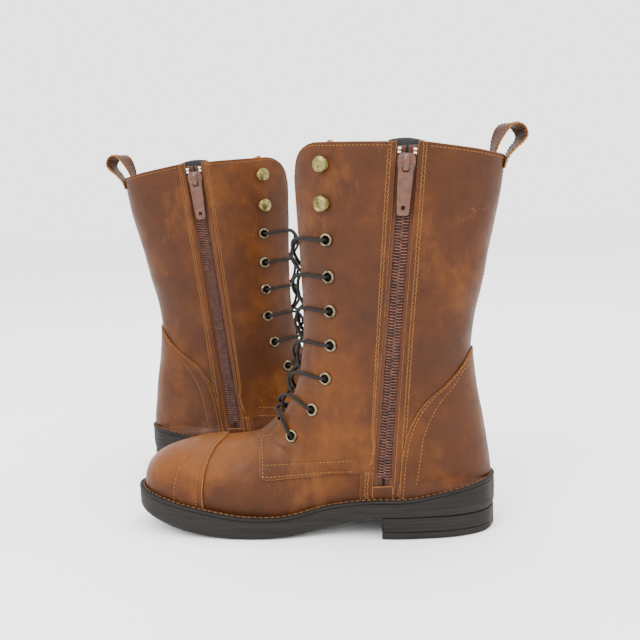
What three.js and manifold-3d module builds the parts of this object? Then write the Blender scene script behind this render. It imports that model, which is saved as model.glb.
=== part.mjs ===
// A pair of lace-up leather boots with an inner side zip, standing side by side. Units: mm, +Z up.
import * as THREE from 'three';
import { mergeVertices } from 'three/addons/utils/BufferGeometryUtils.js';
import Module from 'manifold-3d';

const wasm = await Module();
wasm.setup();

// ---- driving dimensions -------------------------------------------------------------------------
const LENGTH = 1.0;          // growth of the boot along the foot
const HEIGHT = 1.0;          // growth of the boot in height
const WIDTH = 1.0;           // growth of the boot across
const GAP = 0.3;             // clearance between pieces that touch
const LEATHER = 1.8;         // upper leather thickness
const LINING = 1.1;          // textile lining thickness
const WELT = 2.2;            // welt thickness
const WELT_MARGIN = 5.0;     // how far the welt stands out from the upper
const TOP_PIECE = 5.0;       // rubber lift under the heel
const THROAT = 13.0;         // half width of the laced opening
const ZIP_SLOT = 7.2;        // half width of the gap between the two zip panels
const COIL = { width: 3.4, thick: 2.6, slit: 0.8 };
const TAPE = {
  inner: COIL.slit + COIL.width + GAP, outer: 15, thick: 0.7,
  depth: { front: [0.55, 0.75], rear: [1.1, 2.85] },   // below the leather, at the inner and outer edge
  // they bend inwards with the leather near the foot: [distance down the zip, drop]
  bend: { front: [[185, 0], [202, 1.1], [208, 3], [216, 3.2]], rear: [[199, 0], [205, 0.6], [215, 2.4]] },
};
const EYELET = { flange: 4.6, hole: 2.2, wall: 0.6 };
const HOOK = { base: 4.6, neck: 2.3, dome: 5.0, rise: 5.2 };
const LACE = 2.4;
const TONGUE_LEAN = 13.5;    // how fast its top leans back
const TONGUE_ROOM = 3.3;     // between the tongue and the lace that runs over it
const TAB = { width: 16, thick: 1.6 };
const SLIDER = { length: 13, width: 10.6, plate: 1.5 };
const PULL = { length: 33, top: 10, tip: 7, thick: 1.7 };

// Where each boot stands: heel point, turn of the foot line, and which way it faces.
const RIGHT = { at: [123.4, -94.3], turn: 7.7, toe: -1 };
const LEFT = { at: [-160.6, 94.3], turn: 2.0, toe: 1 };

// ---- the last: one half of the outer surface as a fan of sections --------------------------------
// front line (u, w), end line (u, w, medial v, lateral v), roundness at the front, turn of the front
// direction, direction of the end line in plan, reach along it, reach upwards
const FAN = [
  [140, 302, -17, 294, 0, 0, 56, 0, 0, 54, 0],
  [140, 268, -9.5, 265, 0, 0, 56, 0, 0, 54, 0],
  [140, 236, -4, 232, 0, 0, 55, 0, 0, 53, 0],
  [139, 205, 3, 202, 0, 0, 54, 0, 0, 52, 0],
  [138, 176, 9, 173, 0, 0, 53, 0, 0, 51, 0],
  [138, 150, 15, 148, 0, 0, 52, 0, 0, 50, 0],
  [140, 127, 17, 124, 0, 0, 51, 0, 0, 49, 0],
  [145, 106, 15, 101, 0, 0, 50, 0, 0, 49, 0],
  [153, 90, 11.5, 80, 0, 0, 48, 0, 0, 48, 0],
  [161, 80, 8.8, 61, 0, 0, 45, 0, 0, 47, 0],
  [167, 75, 7, 47, 0, 0, 42, 0, 0, 45, 0],
  [170, 72.5, 7, 36.2, 0, 0, 40, 0, 0, 43, 0],
  [171.5, 71.5, 14, 35.2, 19, 19, 38, 0, 42, 32, 6],
  [172.5, 71, 35, 31, 29.5, 30, 36, 0, 80, 48, 12],
  [173.5, 70.5, 62, 26.5, 30, 31, 34, 0, 90, 42, 16],
  [175, 70, 90, 25.4, 28, 33, 32, 0, 88, 32, 20],
  [177, 69.3, 120, 20.6, 29.5, 37, 30, 0, 84, 20, 24],
  [181, 68.4, 150, 14, 36.5, 41, 29, 0, 82, 9, 27],
  [188, 67.3, 178, 13.7, 38.5, 41.5, 27, 0, 92, 2, 28],
  [199, 66.3, 203, 17.3, 37, 39, 26, 0, 98, 0, 27],
  [212, 65, 227, 22, 33.5, 34.5, 24, 6, 108, 0, 25],
  [223, 63, 246, 25.7, 25, 25.5, 20, 24, 130, 0, 22],
  [232, 60.8, 257.5, 27.8, 13.5, 14, 16, 55, 155, 0, 19],
  [238, 59, 262, 28.9, 0, 0, 13, 90, 180, 0, 17],
];
const HEEL_KNOT = 11;        // the section that ends at the back of the heel
const DEG = Math.PI / 180;

const ease = (a, b, c, d, f) =>
  b + 0.5 * f * (c - a + f * (2 * a - 5 * b + 4 * c - d + f * (3 * (b - c) + d - a)));
function station(t) {
  const i = Math.min(Math.floor(t), FAN.length - 2);
  const row = (k) => FAN[Math.max(0, Math.min(FAN.length - 1, k))];
  return FAN[0].map((_, c) => ease(row(i - 1)[c], row(i)[c], row(i + 1)[c], row(i + 2)[c], t - i));
}

// Point of the outer surface; side is +1 medial, -1 lateral.
function bare(side, t, s) {
  const [fu, fw, eu, ew, vm, vl, k, turn, along, reach, rise] = station(t);
  const ev = Math.max(0, side > 0 ? vm : vl);
  const a = turn * DEG, b = along * DEG, lift = t < HEEL_KNOT ? 0 : rise;
  const p = [
    [fu, 0, fw],
    [fu + k * Math.sin(a), k * Math.cos(a), fw - 0.3 * k * Math.sin(a)],
    [eu + reach * Math.sin(b) - 0.08 * lift * Math.cos(b),
      ev + reach * Math.cos(b) + 0.08 * lift * Math.sin(b), ew + lift],
    [eu, ev, ew],
  ];
  const q = 1 - s;
  const m = [q * q * q, 3 * q * q * s, 3 * q * s * s, s * s * s];
  const at = (i) => m[0] * p[0][i] + m[1] * p[1][i] + m[2] * p[2][i] + m[3] * p[3][i];
  return [at(0) * LENGTH, at(1) * WIDTH * side, at(2) * HEIGHT];
}

// (t, s) of the surface point seen from the side at (u, w).
function locate(side, u, w, f = bare) {
  let best = [0, 0, 1e9];
  for (let t = 0; t <= FAN.length - 1; t += 0.5) {
    for (let s = 0.06; s < 1; s += 0.08) {
      const p = f(side, t, s), d = (p[0] - u) ** 2 + (p[2] - w) ** 2;
      if (d < best[2]) best = [t, s, d];
    }
  }
  let [t, s] = best;
  for (let i = 0; i < 12; i++) {
    const p = f(side, t, s), a = f(side, t + 1e-3, s), b = f(side, t, s + 1e-3);
    const j = [(a[0] - p[0]) / 1e-3, (b[0] - p[0]) / 1e-3, (a[2] - p[2]) / 1e-3, (b[2] - p[2]) / 1e-3];
    const det = j[0] * j[3] - j[1] * j[2], du = u - p[0], dw = w - p[2];
    t = Math.min(FAN.length - 1.01, Math.max(0.01, t + (j[3] * du - j[1] * dw) / det));
    s = Math.min(0.97, Math.max(0.03, s + (j[0] * dw - j[2] * du) / det));
  }
  return [t, s];
}

// The zip runs straight down the medial side; the surface is drawn to it.
const ZIP = { top: [57, 41, 266], foot: [80.5, 36.5, 37] };
const zipAt = (w) => {
  const f = (ZIP.top[2] * HEIGHT - w) / ((ZIP.top[2] - ZIP.foot[2]) * HEIGHT);
  return [
    (ZIP.top[0] + f * (ZIP.foot[0] - ZIP.top[0])) * LENGTH,
    (ZIP.top[1] + f * (ZIP.foot[1] - ZIP.top[1])) * WIDTH,
    w,
  ];
};
const PULLS = [];
for (let i = 0; i <= 12; i++) {
  const z = zipAt((20 + i * 22.5) * HEIGHT), [t, s] = locate(1, z[0], z[2]);
  PULLS.push(z[1] - bare(1, t, s)[1]);
}
function skin(side, t, s) {
  const p = bare(side, t, s);
  if (side < 0) return p;
  const x = Math.max(0, Math.min(11.999, (p[2] / HEIGHT - 20) / 22.5)), i = Math.floor(x);
  const k = (n) => PULLS[Math.max(0, Math.min(12, n))];
  const away = (p[0] - zipAt(p[2])[0]) / 34;
  const fade = Math.min(1, Math.abs(p[1]) / 12);
  p[1] += ease(k(i - 1), k(i), k(i + 1), k(i + 2), x - i) * Math.exp(-away * away) * fade;
  return p;
}
const sub = (a, b) => [a[0] - b[0], a[1] - b[1], a[2] - b[2]];
const add = (a, b, k = 1) => [a[0] + b[0] * k, a[1] + b[1] * k, a[2] + b[2] * k];
const dot = (a, b) => a[0] * b[0] + a[1] * b[1] + a[2] * b[2];
const cross = (a, b) => [a[1] * b[2] - a[2] * b[1], a[2] * b[0] - a[0] * b[2], a[0] * b[1] - a[1] * b[0]];
const unit = (a) => a.map((x) => x / Math.hypot(...a));

function normal(side, t, s) {
  if (s === 1 && t >= HEEL_KNOT) {
    const along = station(t)[8] * DEG;
    return [-Math.cos(along), side * Math.sin(along), 0];
  }
  const h = 0.02, last = FAN.length - 1;
  const ahead = Math.abs(t - HEEL_KNOT) < h && s > 0.9 ? t : Math.min(last, t + h);
  const dt = sub(skin(side, ahead, s), skin(side, Math.max(0, t - h), s));
  const ds = sub(skin(side, t, Math.min(1, s + h)), skin(side, t, Math.max(0, s - h)));
  return unit(cross(dt, ds).map((x) => x * side));
}
// Point at a depth below the outer surface (negative: above it).
function deep(side, t, s, depth) {
  const p = skin(side, t, s), onSeam = Math.abs(p[1]) < 1e-6;
  const n = normal(side, t, s);
  if (onSeam) n[1] = 0;
  return add(p, onSeam ? unit(n) : n, -depth);
}

// The same point on the flat facets that the panels are drawn with.
const T_STEPS = [0, 2, 4, 5.5, 7, 8.5, 10, HEEL_KNOT, 11.5, 12, 13, 14.5, 16, 17, 18, 19, 20, 21, 22, FAN.length - 1];
const S_STEPS = [0, 0.14, 0.28, 0.43, 0.53, 0.63, 0.8, 1];
function facet(side, t, s, depth) {
  const cell = (steps, x) => {
    let i = 0;
    while (i < steps.length - 2 && steps[i + 1] <= x) i++;
    return [steps[i], steps[i + 1], (x - steps[i]) / (steps[i + 1] - steps[i])];
  };
  const [t0, t1, a] = cell(T_STEPS, t), [s0, s1, b] = cell(S_STEPS, s);
  const p = [deep(side, t0, s0, depth), deep(side, t1, s0, depth), deep(side, t0, s1, depth),
    deep(side, t1, s1, depth)];
  return p[0].map((_, i) => (1 - b) * ((1 - a) * p[0][i] + a * p[1][i]) + b * ((1 - a) * p[2][i] + a * p[3][i]));
}

// ---- solids ---------------------------------------------------------------------------------------
function geometryOf(points, faces) {
  const g = new THREE.BufferGeometry();
  g.setAttribute('position', new THREE.Float32BufferAttribute(points.flat(), 3));
  g.setIndex(faces.flat());
  return g;
}
function solid(geometry) {
  const g = geometry.clone();
  g.deleteAttribute('normal');
  g.deleteAttribute('uv');
  const m = mergeVertices(g, 1e-4);
  const idx = m.index ? m.index.array : Uint32Array.from({ length: m.attributes.position.count }, (_, i) => i);
  const tri = [];
  for (let i = 0; i < idx.length; i += 3) {
    const [a, b, c] = [idx[i], idx[i + 1], idx[i + 2]];
    if (a !== b && b !== c && a !== c) tri.push(a, b, c);
  }
  const mesh = new wasm.Mesh({
    numProp: 3, vertProperties: new Float32Array(m.attributes.position.array), triVerts: Uint32Array.from(tri),
  });
  const s = new wasm.Manifold(mesh);
  if (s.volume() < 0) throw new Error('solid faces inward');
  return s;
}
const largest = (body) => body.decompose().sort((a, b) => b.volume() - a.volume())[0];
const joinAll = (list) => list.reduce((a, b) => a.add(b));

// A closed layer of the upper between two depths, over the whole fan.
function layer(outer, inner) {
  const pts = [], faces = [], n = S_STEPS.length;
  for (const side of [1, -1]) {
    const base = pts.length;
    for (const depth of [outer, inner]) {
      for (const t of T_STEPS) {
        for (const s of S_STEPS) {
          const seam = s === 0 || (s === 1 && t <= HEEL_KNOT) || t === FAN.length - 1;
          const p = deep(seam ? 1 : side, t, s, depth);
          pts.push(seam ? [p[0], 0, p[2]] : p);
        }
      }
    }
    const half = T_STEPS.length * n;
    const id = (layerNo, i, j) => base + layerNo * half + i * n + j;
    const quad = (a, b, c, d, flip) => {
      faces.push(flip ? [a, c, b] : [a, b, c], flip ? [a, d, c] : [a, c, d]);
    };
    const f = side > 0;
    for (let i = 0; i + 1 < T_STEPS.length; i++) {
      for (let j = 0; j + 1 < n; j++) {
        quad(id(0, i, j), id(0, i, j + 1), id(0, i + 1, j + 1), id(0, i + 1, j), f);
        quad(id(1, i, j), id(1, i + 1, j), id(1, i + 1, j + 1), id(1, i, j + 1), f);
      }
      if (T_STEPS[i] >= HEEL_KNOT) {
        quad(id(0, i, n - 1), id(1, i, n - 1), id(1, i + 1, n - 1), id(0, i + 1, n - 1), f);
      }
    }
    for (let j = 0; j + 1 < n; j++) quad(id(0, 0, j), id(1, 0, j), id(1, 0, j + 1), id(0, 0, j + 1), f);
  }
  return solid(geometryOf(pts, faces));
}

// A straight-sided cutter: an outline seen from the side, pushed through from v0 to v1.
function side(outline, v0 = -90, v1 = 90) {
  const shape = new THREE.Shape(outline.map(([u, w]) => new THREE.Vector2(u * LENGTH, w * HEIGHT)));
  const g = new THREE.ExtrudeGeometry(shape, { depth: (v1 - v0) * WIDTH, bevelEnabled: false, curveSegments: 1 });
  g.rotateX(Math.PI / 2);
  g.translate(0, v1 * WIDTH, 0);
  return solid(g);
}
// The same, with an outline seen from the top, from w0 to w1.
function plan(outline, w0, w1) {
  const shape = new THREE.Shape(outline.map(([u, v]) => new THREE.Vector2(u, v)));
  const g = new THREE.ExtrudeGeometry(shape, { depth: w1 - w0, bevelEnabled: false, curveSegments: 1 });
  g.translate(0, 0, w0);
  return solid(g);
}
// A turned piece whose axis leaves the surface at (side, t, s); profile is (radius, height above it).
function turned(sideSign, t, s, profile, steps = 8) {
  const g = new THREE.LatheGeometry(profile.map(([r, h]) => new THREE.Vector2(r, h)), steps);
  const foot = facet(sideSign, t, s, 0);
  const n = new THREE.Vector3(...unit(sub(facet(sideSign, t, s, -1), foot)));
  g.applyQuaternion(new THREE.Quaternion().setFromUnitVectors(new THREE.Vector3(0, 1, 0), n));
  g.translate(...foot);
  return solid(g);
}

// ---- outlines seen from the side (u, w) -----------------------------------------------------------
const RIM = [[-30, 257], [-9, 260.5], [10, 264.6], [28, 267.6], [46, 270.6], [65, 271.4], [107, 273.4],
  [120, 274], [128, 271.5], [134, 265], [136.5, 255]];
const COUNTER_EDGE = [[10, 131], [18, 127], [25, 117], [37, 105.5], [50, 95], [59, 82], [64.5, 68],
  [68, 48], [69.5, 20]];
const STRAP_EDGE = [[86, 47], [110, 44.5], [138, 41.5], [163, 40.8], [167.5, 44], [168, 53], [169, 62],
  [175, 74]];
const CAP_EDGE = [[196, 90], [196, 68], [202, 63], [206, 54.6], [208.5, 43.5], [209.7, 32.4], [209.5, 10]];
const zipLine = (w, off) => [(zipAt(w * HEIGHT)[0] / LENGTH) + off, w];
const EYELETS = [[113.6, 208.4], [113.2, 183.2], [113, 159.6], [113.6, 136], [118.2, 112.5], [129, 90],
  [145.2, 70]];
const HOOKS = [[114.3, 259], [114.9, 232.8]];
const STAY = 6.6;            // half width of the stay that carries the eyelets

// Top edge of the welt, and the ground profile of the sole.
const SEAT = 1.1;            // fasteners stand this far off the smooth surface
const FOOT = T_STEPS.filter((t) => t >= HEEL_KNOT);
const WELT_TOP = FOOT.map((t) => [station(t)[2], station(t)[3] + WELT - 0.2]);
WELT_TOP.unshift([-12, WELT_TOP[0][1]]);
WELT_TOP.push([276, WELT_TOP[WELT_TOP.length - 1][1] + 1.6]);
const GROUND = [[276, 19], [255, 12.6], [235, 7.2], [215, 3], [195, 0.7], [175, 0], [158, 0.6], [140, 2.8],
  [122, 6.4], [105, 11.2], [88, 14.4]];
const HEEL_SEAT = 15.3;
const BREAST = 82;

const shifted = (line, dw) => line.map(([u, w]) => [u, w + dw]);
// Sole outline in plan: the foot of the upper, stood off by a margin.
function footprint(margin, heelMargin = margin) {
  const ring = [], last = FAN.length - 1;
  for (const sd of [1, -1]) {
    const part = FOOT.map((t) => {
      const p = skin(sd, t, 1), n = normal(sd, t, 1), out = t < 15 ? heelMargin : margin;
      return [p[0] + n[0] * out, t === last ? 0 : p[1] + n[1] * out];
    });
    if (sd > 0) part.reverse();
    ring.push(...(sd > 0 ? part : part.slice(1, -1)));
  }
  return ring;
}

// ---- one boot ---------------------------------------------------------------------------------------
function boot() {
  const parts = {};
  const H = HEIGHT;
  const upper = layer(0, LEATHER);
  const under = layer(LEATHER + 4 * GAP, 2 * LEATHER + 4 * GAP);
  const backing = layer(LEATHER + GAP, LEATHER + GAP + LINING);
  const overlay = layer(-2 * GAP - 1.5, -2 * GAP);

  // outlines
  const belowRim = side([...RIM, [136.5, 240], [200, 240], [300, 240], [300, 0], [-30, 0]]);
  const throat = plan([[100, -THROAT], [150, -THROAT], [164, -THROAT - 3], [176, -THROAT - 14],
    [176, THROAT + 14], [164, THROAT + 3], [150, THROAT], [100, THROAT]]
    .map(([u, v]) => [u * LENGTH, v * WIDTH]), 58 * H, 320 * H);
  const medial = side([[-40, 0], [320, 0], [320, 320], [-40, 320]], 0.15, 90);
  const lateral = side([[-40, 0], [320, 0], [320, 320], [-40, 320]], -90, -0.15);
  const zipSlot = (half) => side([zipLine(20, -half), zipLine(300, -half), zipLine(300, half),
    zipLine(20, half)], 5, 90);
  const quarterFront = side([zipLine(47, ZIP_SLOT), ...STRAP_EDGE.slice(1), [300, 90], [300, 320],
    zipLine(320, ZIP_SLOT)], 5, 90);

  // fastener seats
  const holes = [], stays = [], seats = [];
  for (const sd of [1, -1]) {
    const rows = EYELETS.map(([u, w]) => locate(sd, u * LENGTH, w * H, skin));
    const hooks = HOOKS.map(([u, w]) => locate(sd, u * LENGTH, w * H, skin));
    seats.push({ sd, rows, hooks });
    const bore = EYELET.hole + EYELET.wall + 0.75;
    for (const [t, s] of rows) {
      holes.push(turned(sd, t, s, [[0, -6], [bore, -6], [bore, 3], [0, 3]], 6));
    }
    for (const [t, s] of hooks) holes.push(turned(sd, t, s, [[0, -2], [1.6, -2], [1.6, 3], [0, 3]], 6));
    const band = EYELETS.map(([u, w]) => [u - STAY, w - 0.35 * STAY]);
    const back = EYELETS.map(([u, w]) => [u + STAY, w + 0.35 * STAY]).reverse();
    const [first, last] = [EYELETS[0], EYELETS[EYELETS.length - 1]];
    stays.push(side([[first[0] - STAY, first[1] + STAY], ...band, [last[0] - 3, last[1] - STAY],
      [last[0] + 4, last[1] - STAY + 1], ...back, [first[0] + STAY, first[1] + STAY]],
    sd > 0 ? 8 : -90, sd > 0 ? 90 : -8));
  }
  const allHoles = joinAll(holes);

  // upper panels
  const outerShaft = upper.intersect(belowRim).subtract(throat).subtract(allHoles);
  parts.medial_front_quarter = outerShaft.intersect(quarterFront);
  parts.medial_rear_quarter = outerShaft.intersect(medial).intersect(
    side([[-40, 320], zipLine(320, -ZIP_SLOT), zipLine(35.5, -ZIP_SLOT), zipLine(34.5, TAPE.outer),
      zipLine(20, TAPE.outer), [26, 20], [24, 40], [-40, 40]]));
  parts.lateral_quarter = outerShaft.intersect(lateral).intersect(
    side([[-40, 320], [-40, 40], [24, 40], [26, 20], [70, 20], [72, 46], ...STRAP_EDGE, [300, 90], [300, 320]]));
  const cap = side([...CAP_EDGE, [300, 10], [300, 90]]);
  parts.toe_cap = upper.intersect(cap);
  const capGrown = side([[214, 90], [214, 10], [300, 10], [300, 90]]);
  const vampSide = side([zipLine(5, ZIP_SLOT), zipLine(35, ZIP_SLOT), zipLine(36, TAPE.outer + GAP),
    zipLine(54, TAPE.outer + GAP), [120, 55], [150, 66], [156, 95], [300, 95], [300, 5]]);
  parts.vamp = largest(under.intersect(vampSide).subtract(capGrown));
  parts.heel_counter = overlay.intersect(side([[-40, 131], ...COUNTER_EDGE, [-40, 20]]))
    .intersect(side([...shifted(WELT_TOP, GAP - WELT), [276, 300], [-12, 300]]));

  // lining, stopped short of the vamp, the stays and the zip
  const insideVamp = side([[84, 0], [84, 58], [120, 59], [146, 70], [152, 99], [320, 99], [320, 0]]);
  const stayRoom = joinAll(stays);
  const linedBelow = side([...shifted(RIM, -1.5), [136.5, 240], [300, 240], [300, 0], [-30, 0]]);
  const lining = backing.intersect(linedBelow).subtract(throat).subtract(insideVamp)
    .subtract(zipSlot(TAPE.outer + GAP)).subtract(growStay(stayRoom));
  const aheadOfZip = side([zipLine(5, 0), [300, 5], [300, 320], zipLine(320, 0)], 0.15, 90);
  parts.medial_front_lining = lining.intersect(aheadOfZip);
  parts.shaft_lining = lining.subtract(aheadOfZip);

  // facing stays with their eyelets
  const stayLayer = layer(LEATHER + GAP, LEATHER + GAP + 0.8).subtract(throat).subtract(vampSide);
  const r0 = EYELET.hole, r1 = EYELET.hole + EYELET.wall, rf = EYELET.flange;
  const lip = LEATHER + GAP + 0.5;
  const rivet = [[0, -lip], [r1, -lip], [r1, SEAT], [rf, SEAT], [rf - 0.6, 1.8], [0, 1.8]];
  seats.forEach(({ sd, rows }, i) => {
    const bores = joinAll(rows.map(([t, s]) => turned(sd, t, s, [[0, -6], [r0, -6], [r0, 3], [0, 3]], 6)));
    const rivets = rows.map(([t, s]) => turned(sd, t, s, rivet));
    const name = sd > 0 ? 'eyelet_row_medial' : 'eyelet_row_lateral';
    parts[name] = largest(joinAll([stayLayer.intersect(stays[i]), ...rivets]).subtract(bores));
  });

  // speed hooks: riveted base, neck and dome
  const hookProfile = [[0, -LEATHER + 0.3], [1.2, -LEATHER + 0.3], [1.2, SEAT], [HOOK.base, SEAT],
    [HOOK.base, 1.6], [HOOK.neck, 1.9], [HOOK.neck, 2.9], [HOOK.dome, 3.3], [HOOK.dome - 0.8, 4.6],
    [2, HOOK.rise], [0, HOOK.rise]];
  for (const { sd, hooks } of seats) {
    hooks.forEach(([t, s], i) => {
      parts[`hook_${i ? 'lower' : 'upper'}_${sd > 0 ? 'medial' : 'lateral'}`] = turned(sd, t, s, hookProfile);
    });
  }

  tongue(parts);
  zip(parts, zipSlot);
  sole(parts);
  pullTab(parts);
  parts.lace = lace(seats);
  return parts;
}

// Room left in the lining round the stays.
function growStay(room) {
  const grown = [[GAP, 0], [-GAP, 0], [0, GAP], [0, -GAP]].map(([du, dw]) => room.translate(du, 0, dw));
  return joinAll([room, ...grown]);
}

// Tongue: lies under the lacing, leans in at the top and rises above the rim.
function tongue(parts) {
  const depth = LEATHER + LINING + 2 * GAP + LACE + TONGUE_ROOM, toe = 2 * LEATHER + 4 * GAP + 0.9;
  const ts = [0.6, 1.2, ...T_STEPS.filter((t) => t > 1 && t < 12)];
  const pts = [], faces = [], vs = [-0.26, -0.14, 0, 0.14, 0.26];
  const sink = (t) => depth + (toe - depth) * Math.max(0, Math.min(1, (t - 9.2) / 1.8));
  for (const extra of [0, LEATHER]) {
    for (const t of ts) {
      const lean = TONGUE_LEAN * Math.max(0, 2 - t);
      for (const v of vs) pts.push(add(deep(v < 0 ? -1 : 1, t, Math.abs(v), sink(t) + extra), [-lean, 0, 0]));
    }
  }
  const n = vs.length, m = ts.length, id = (l, i, j) => l * m * n + i * n + j;
  const quad = (a, b, c, d) => faces.push([a, c, b], [a, d, c]);
  for (let i = 0; i + 1 < m; i++) {
    for (let j = 0; j + 1 < n; j++) {
      quad(id(0, i, j), id(0, i, j + 1), id(0, i + 1, j + 1), id(0, i + 1, j));
      quad(id(1, i, j), id(1, i + 1, j), id(1, i + 1, j + 1), id(1, i, j + 1));
    }
    quad(id(0, i, 0), id(0, i + 1, 0), id(1, i + 1, 0), id(1, i, 0));
    quad(id(0, i, n - 1), id(1, i, n - 1), id(1, i + 1, n - 1), id(0, i + 1, n - 1));
  }
  for (let j = 0; j + 1 < n; j++) {
    quad(id(0, 0, j), id(1, 0, j), id(1, 0, j + 1), id(0, 0, j + 1));
    quad(id(0, m - 1, j), id(0, m - 1, j + 1), id(1, m - 1, j + 1), id(1, m - 1, j));
  }
  parts.tongue = solid(geometryOf(pts, faces));
}

// Frame of the zip: along (down the zip), across (towards the heel), out.
const zipFrame = () => {
  const a = zipAt(ZIP.top[2] * HEIGHT), b = zipAt(ZIP.foot[2] * HEIGHT);
  const along = unit(sub(b, a));
  const out = unit(add([0, 1, 0], along, -along[1]));
  return { top: a, foot: b, along, out, across: cross(out, along), length: Math.hypot(...sub(b, a)) };
};
// A block in the zip's frame: outline (across, out) pushed along from d0 to d1 below the top end.
function alongZip(outline, d0, d1) {
  const z = zipFrame();
  const shape = new THREE.Shape(outline.map(([x, y]) => new THREE.Vector2(x, y)));
  const g = new THREE.ExtrudeGeometry(shape, { depth: d1 - d0, bevelEnabled: false, curveSegments: 1 });
  return solid(g.applyMatrix4(zipMatrix(z, d0)));
}
function zipMatrix(z, d) {
  const o = add(z.top, z.along, d);
  return new THREE.Matrix4().makeBasis(...[z.across, z.out, z.along].map((a) => new THREE.Vector3(...a)))
    .setPosition(...o);
}
function zipPoint(z, x, y, d) {
  return add(add(add(z.top, z.along, d), z.across, x), z.out, y);
}
const CHAIN_DEPTH = 2.7;     // depth of the coils' middle below the leather's face
function zip(parts, zipSlot) {
  const z = zipFrame(), c = COIL, y = -CHAIN_DEPTH, h = c.thick / 2;
  const row = (k) => [[k * c.slit, y - h], [k * (c.slit + c.width), y - h], [k * (c.slit + c.width), y + h * 0.5],
    [k * (c.slit + c.width - 0.8), y + h], [k * c.slit, y + h]];
  for (const [name, k] of [['front', 1], ['rear', -1]]) {
    parts[`zip_coil_${name}`] = alongZip(row(-k), 4, z.length);
    const [near, far] = TAPE.depth[name].map((d) => LEATHER + d);
    const slice = ([d, drop]) => [[TAPE.inner, near], [TAPE.outer, far], [TAPE.outer, far + TAPE.thick],
      [TAPE.inner, near + TAPE.thick]].map(([x, depth]) => zipPoint(z, -k * x, -depth - drop, d));
    const slices = [[0.5, 0], ...TAPE.bend[name]].map(slice);
    slices.push(slice([z.length, TAPE.bend[name].at(-1)[1]]));
    parts[`zip_tape_${name}`] = wasm.Manifold.union(
      slices.slice(1).map((end, i) => wasm.Manifold.hull([...slices[i], ...end])));
  }
  // flap behind the chain
  parts.zip_guard = alongZip([[13, -8.8], [-12.5, -8.8], [-17.5, -6.6], [-17.5, -5.4], [-12, -7.6],
    [13, -7.6]], -4, z.length - 36);
  // slider: two plates on a web, and a bail over the top
  const top0 = y + h + GAP, p = SLIDER, low0 = y - h - GAP, d = 3;
  const plate = (y0, y1) => alongZip([[-p.width / 2, y0], [p.width / 2, y0], [p.width / 2, y1],
    [-p.width / 2, y1]], d, d + p.length);
  const web = alongZip([[-0.4, low0 - 0.5], [0.4, low0 - 0.5], [0.4, top0 + 0.5], [-0.4, top0 + 0.5]], d,
    d + p.length);
  const zm = zipMatrix(z, 0);
  const bailShape = new THREE.Shape([[3.5, 0], [3.5, 2.6], [5, 4], [11.5, 4], [13, 2.6], [13, 0], [11.6, 0],
    [11.6, 2.2], [11, 2.8], [5.6, 2.8], [5, 2.2], [5, 0]].map(([x, yy]) => new THREE.Vector2(x, yy)));
  const bail = new THREE.ExtrudeGeometry(bailShape, { depth: 3, bevelEnabled: false, curveSegments: 1 });
  bail.applyMatrix4(new THREE.Matrix4().makeBasis(new THREE.Vector3(0, 0, 1), new THREE.Vector3(0, 1, 0),
    new THREE.Vector3(-1, 0, 0)).setPosition(1.5, top0 + p.plate - 0.2, d - 1.8));
  parts.zip_slider = joinAll([plate(top0, top0 + p.plate), plate(low0 - 1, low0), web,
    solid(bail.applyMatrix4(zm))]);
  // puller: a tapered plate with an eye at its head, hung from the bail
  parts.zip_pull = zipPull(zm, top0 + p.plate, d);
}
function zipPull(zm, base, d) {
  const q = PULL, w0 = q.top / 2, w1 = q.tip / 2, up = 3.2;
  const shape = new THREE.Shape([[-w0 + 1, 0], [w0 - 1, 0], [w0, 1], [w0, 7], [w1, q.length - 1],
    [w1 - 1, q.length], [-w1 + 1, q.length], [-w1, q.length - 1], [-w0, 7], [-w0, 1]]
    .map(([x, y]) => new THREE.Vector2(x, y)));
  const hole = (x, y0, y1) => new THREE.Path([[-x, y0], [-x, y1], [x, y1], [x, y0]]
    .map((p) => new THREE.Vector2(...p)));
  shape.holes.push(hole(2.1, 1.4, 4.6), hole(1.1, q.length - 5, q.length - 2.8));
  const g = new THREE.ExtrudeGeometry(shape, { depth: q.thick, bevelEnabled: false, curveSegments: 1 });
  // plate lies along the zip; its eye passes through the bail
  g.applyMatrix4(new THREE.Matrix4().makeBasis(new THREE.Vector3(-1, 0, 0), new THREE.Vector3(0, 0, 1),
    new THREE.Vector3(0, 1, 0)).setPosition(0, base + 0.4, d + up + 4));
  return solid(g.applyMatrix4(zm));
}

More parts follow.
